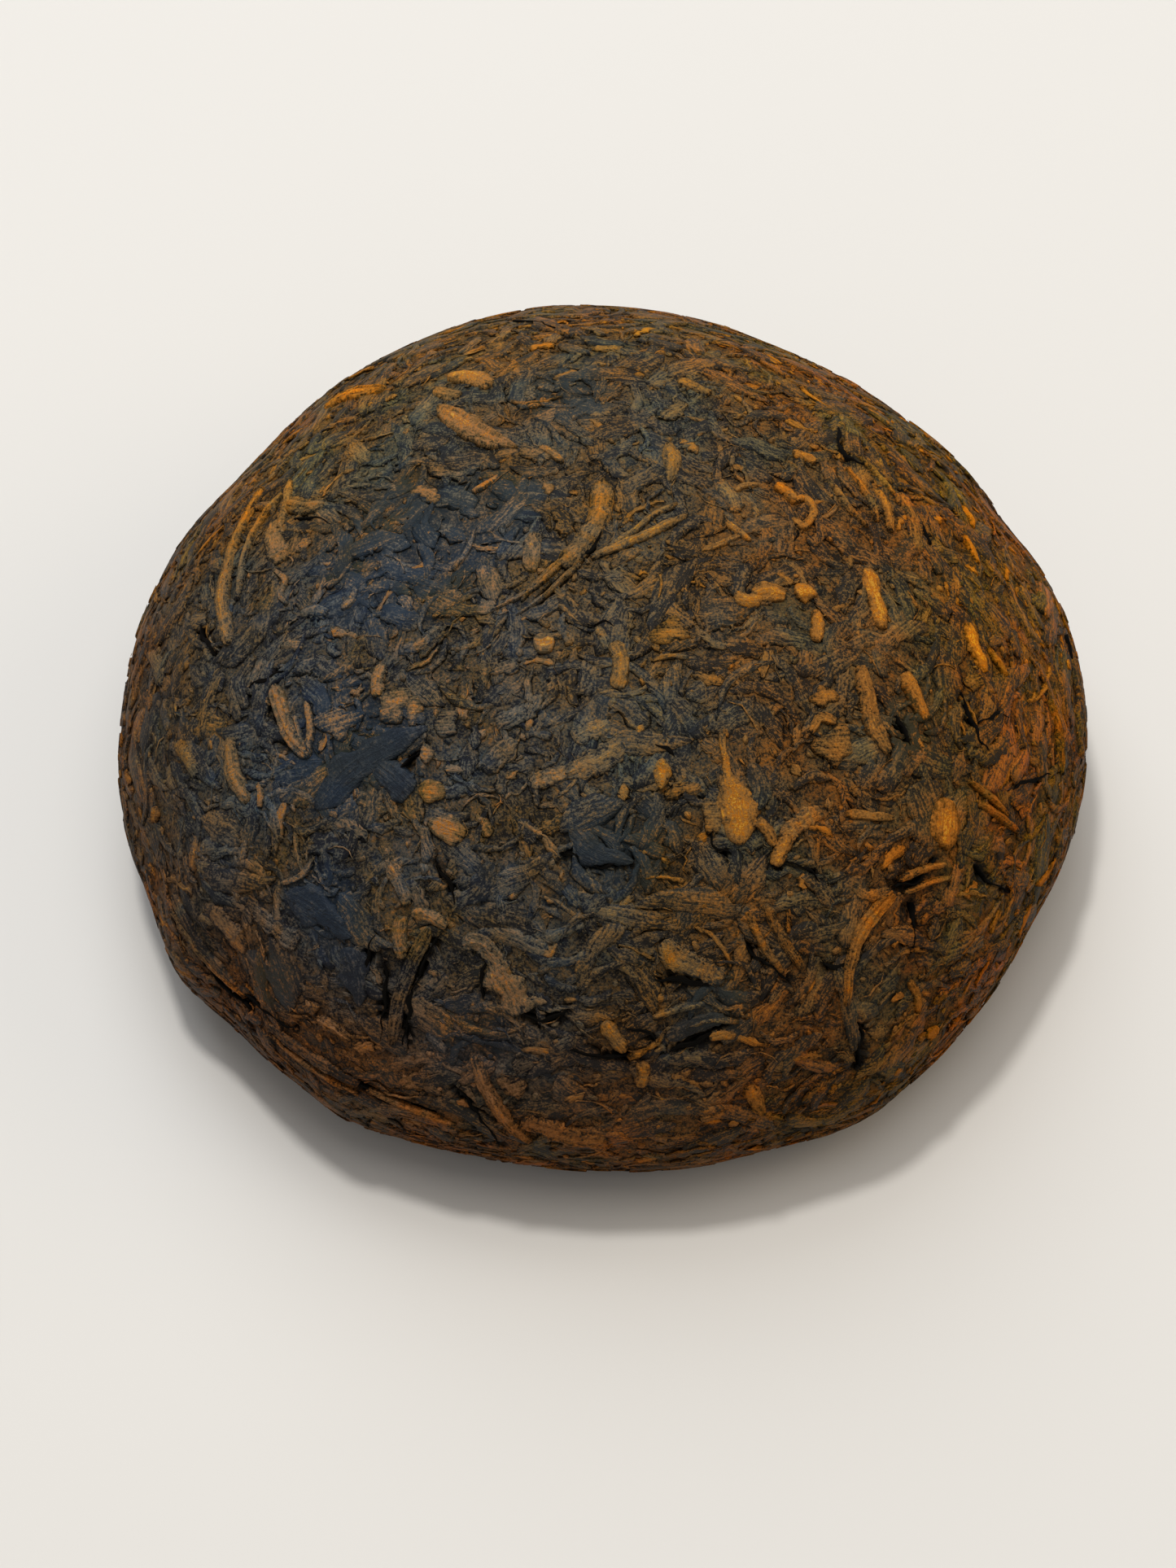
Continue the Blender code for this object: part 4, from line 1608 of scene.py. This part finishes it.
# Small pieces: slot, finish, and what scatter is told.
SMALL_PIECES = {
    "golden_tips": ("golden_bud", "golden_bud", dict(
        seed=200, spacing=4.4, sizes=(0.35, 1.1), depths=(-0.04, 0.22), tones=(0.38, 0.74), clearance=1.2
    )),
    "stems": ("stem", "stem", dict(
        seed=300, spacing=6.0, sizes=(0.5, 1.0), depths=(-0.04, 0.2), tones=(0.26, 0.54), clearance=1.0
    )),
    "crumbs": ("brown_leaf", "leaf_crumb", dict(
        seed=400, spacing=1.35, sizes=(0.35, 1.0), depths=(0.02, 0.3), tones=(0.05, 0.6), clearance=0.3
    )),
    "fibres": ("stem", "leaf_fibre", dict(
        seed=500, spacing=3.2, sizes=(0.5, 1.1), depths=(-0.06, 0.1), tones=(0.15, 0.6), clearance=0.2
    )),
}


class TEANEST_OT_press_small_pieces(bpy.types.Operator):
    """Press in the golden tips, stems, crumbs and fibres"""

    bl_idname = "teanest.press_small_pieces"
    bl_label = "Press small pieces"

    def execute(self, context):
        for name, (slot, finish, kind) in SMALL_PIECES.items():
            material = tea_leaf(finish, context.scene.tea_nest)
            scatter(name, slot, material, "cover_all", level=0.2, **kind)
        return {"FINISHED"}


class TEANEST_OT_open_crevices(bpy.types.Operator):
    """Lay a near-black strip of painted shadow at the bottom of each named crack"""

    bl_idname = "teanest.open_crevices"
    bl_label = "Open crevices"

    def execute(self, context):
        laid = LaidPieces()
        for width, through in CRACKS:
            # Each strip is painted shadow, half as wide as its crack and flush with the leaf.
            strip = (0.5 * width, 0.0, 0.0, 0, through, spindle)
            laid.strip(*strip, high=0.0, lift=0.02, ragged=1.0)
        mesh = laid.finished("crevices")
        mesh.materials.append(crevice_finish())
        show_piece("crevices", mesh, "dark_leaf")
        return {"FINISHED"}


# Shown pieces: slot, rows, and how high they stand, how far they are lifted and how ragged they are.
SHOWN_PIECES = {
    "shown_stems": ("stem", STEMS, dict(high=0.9, lift=0.03, ragged=0.12)),
    "shown_buds": ("golden_bud", BUDS, dict(high=0.8, lift=0.03, ragged=0.18)),
    "shown_brown_leaves": ("brown_leaf", BROWN_LEAVES, dict(high=0.5, lift=-0.01, ragged=0.34)),
    "shown_leaves": ("dark_leaf", DARK_LEAVES, dict(high=0.5, lift=-0.02, ragged=0.3)),
}


class TEANEST_OT_lay_shown_pieces(bpy.types.Operator):
    """Lay the stems, buds, leaves and flakes that the photograph shows where it shows them"""

    bl_idname = "teanest.lay_shown_pieces"
    bl_label = "Lay shown pieces"

    def execute(self, context):
        settings = context.scene.tea_nest
        for name, (slot, rows, surface) in SHOWN_PIECES.items():
            laid = LaidPieces()
            for row in rows:
                laid.strip(*row, **surface)
            self.show(name, laid, slot, settings)
        laid = LaidPieces()
        for row in FLAKES:
            laid.flake(*row)
        self.show("shown_flakes", laid, "golden_bud", settings)
        return {"FINISHED"}

    def show(self, name, laid, slot, settings):
        """Shows what was laid, in the finish that has the slot's name."""
        mesh = laid.finished(name)
        mesh.materials.append(tea_leaf(slot, settings))
        show_piece(name, mesh, slot)


class TEANEST_OT_clear_bench(bpy.types.Operator):
    """Remove the shapes that were only needed while the pieces were made"""

    bl_idname = "teanest.clear_bench"
    bl_label = "Clear bench"

    def execute(self, context):
        collection = bench()
        for helper in list(collection.all_objects):
            bpy.data.objects.remove(helper)
        for child in list(collection.children):
            bpy.data.collections.remove(child)
        bpy.data.collections.remove(collection)
        return {"FINISHED"}


class TEANEST_OT_set_stage(bpy.types.Operator):
    """Set the plain floor, the soft lights and the camera at the photograph's angle"""

    bl_idname = "teanest.set_stage"
    bl_label = "Set stage"

    def execute(self, context):
        settings = context.scene.tea_nest
        self.add_floor(settings)
        self.add_lights(settings)
        self.add_camera()
        context.scene.view_settings.view_transform = "Standard"
        context.scene.view_settings.look = "None"
        return {"FINISHED"}

    def add_floor(self, settings):
        """A wide pale floor."""
        shape = bmesh.new()
        bmesh.ops.create_grid(shape, x_segments=1, y_segments=1, size=3.0)
        mesh = mesh_of(shape, "floor")
        floor = bpy.data.objects.new("floor", mesh)
        bpy.context.scene.collection.objects.link(floor)
        finish = Finish("floor")
        finish.connect("Base Color", (*settings.floor_colour, 1.0))
        finish.connect("Roughness", 0.9)
        mesh.materials.append(finish.material)

    def add_light(self, name, azimuth, elevation, distance, size, power, colour):
        """A round light that faces the nest; angles in degrees, azimuth from +X."""
        lamp = bpy.data.lights.new(name, "AREA")
        lamp.shape = "DISK"
        lamp.size = size
        lamp.energy = power
        lamp.color = colour
        turn, lift = math.radians(azimuth), math.radians(elevation)
        level = math.cos(lift)
        way = Vector((math.cos(turn) * level, math.sin(turn) * level, math.sin(lift)))
        light = bpy.data.objects.new(name, lamp)
        light.location = way * distance
        light.rotation_euler = way.to_track_quat("Z", "Y").to_euler()
        bpy.context.scene.collection.objects.link(light)

    def add_lights(self, settings):
        """A high key light and a cool sky behind, a ceiling, and a warm fill on the right."""
        self.add_light("key", 126, 78, 0.9, 0.10, settings.key_power, (1.0, 0.96, 0.90))
        self.add_light("cool_sky", 108, 48, 1.0, 0.8, 4.45, (0.86, 0.93, 1.0))
        self.add_light("ceiling", 60, 82, 1.1, 0.9, 3.8, (1.0, 0.97, 0.93))
        self.add_light("warm_fill", 5, 32, 1.1, 0.8, 2.5, (1.0, 0.80, 0.52))
        world = bpy.data.worlds.new("soft_room")
        world.use_nodes = True
        background = world.node_tree.nodes["Background"]
        background.inputs["Color"].default_value = (1.0, 0.97, 0.93, 1.0)
        background.inputs["Strength"].default_value = 0.36
        bpy.context.scene.world = world

    def add_camera(self):
        """The camera, with the photograph's angle, distance and framing."""
        lens = bpy.data.cameras.new("camera")
        lens.sensor_fit = "AUTO"
        lens.sensor_width = SENSOR_SIDE
        lens.lens = FOCAL_PIXELS * SENSOR_SIDE / PHOTO_HEIGHT
        lens.clip_start = 0.01
        camera = bpy.data.objects.new("camera", lens)
        camera.location, turn = camera_place()
        camera.rotation_euler = turn.to_euler()
        bpy.context.scene.collection.objects.link(camera)
        bpy.context.scene.camera = camera


class TEANEST_PT_sidebar(bpy.types.Panel):
    """The tea nest's settings and steps"""

    bl_idname = "TEANEST_PT_sidebar"
    bl_label = "Tea Nest"
    bl_space_type = "VIEW_3D"
    bl_region_type = "UI"
    bl_category = "Tea Nest"

    def draw(self, context):
        settings = context.scene.tea_nest
        for name in settings.__annotations__:
            self.layout.prop(settings, name)
        for step in STEPS:
            self.layout.operator(step.bl_idname)


STEPS = (
    TEANEST_OT_set_stage,
    TEANEST_OT_lay_out,
    TEANEST_OT_press_core,
    TEANEST_OT_press_dark_leaves,
    TEANEST_OT_press_brown_leaves,
    TEANEST_OT_press_small_pieces,
    TEANEST_OT_open_crevices,
    TEANEST_OT_lay_shown_pieces,
    TEANEST_OT_clear_bench,
)
CLASSES = (TeaNestSettings, *STEPS, TEANEST_PT_sidebar)


def register():
    """Registers the classes and the scene's settings."""
    for cls in CLASSES:
        bpy.utils.register_class(cls)
    bpy.types.Scene.tea_nest = bpy.props.PointerProperty(type=TeaNestSettings)


def unregister():
    """Removes the settings and the classes."""
    del bpy.types.Scene.tea_nest
    for cls in reversed(CLASSES):
        bpy.utils.unregister_class(cls)


def main():
    """Builds the whole nest, step by step."""
    register()
    bpy.ops.teanest.set_stage()
    bpy.ops.teanest.lay_out()
    bpy.ops.teanest.press_core()
    bpy.ops.teanest.press_dark_leaves()
    bpy.ops.teanest.press_brown_leaves()
    bpy.ops.teanest.press_small_pieces()
    bpy.ops.teanest.open_crevices()
    bpy.ops.teanest.lay_shown_pieces()
    bpy.ops.teanest.clear_bench()


if __name__ == "__main__":
    main()
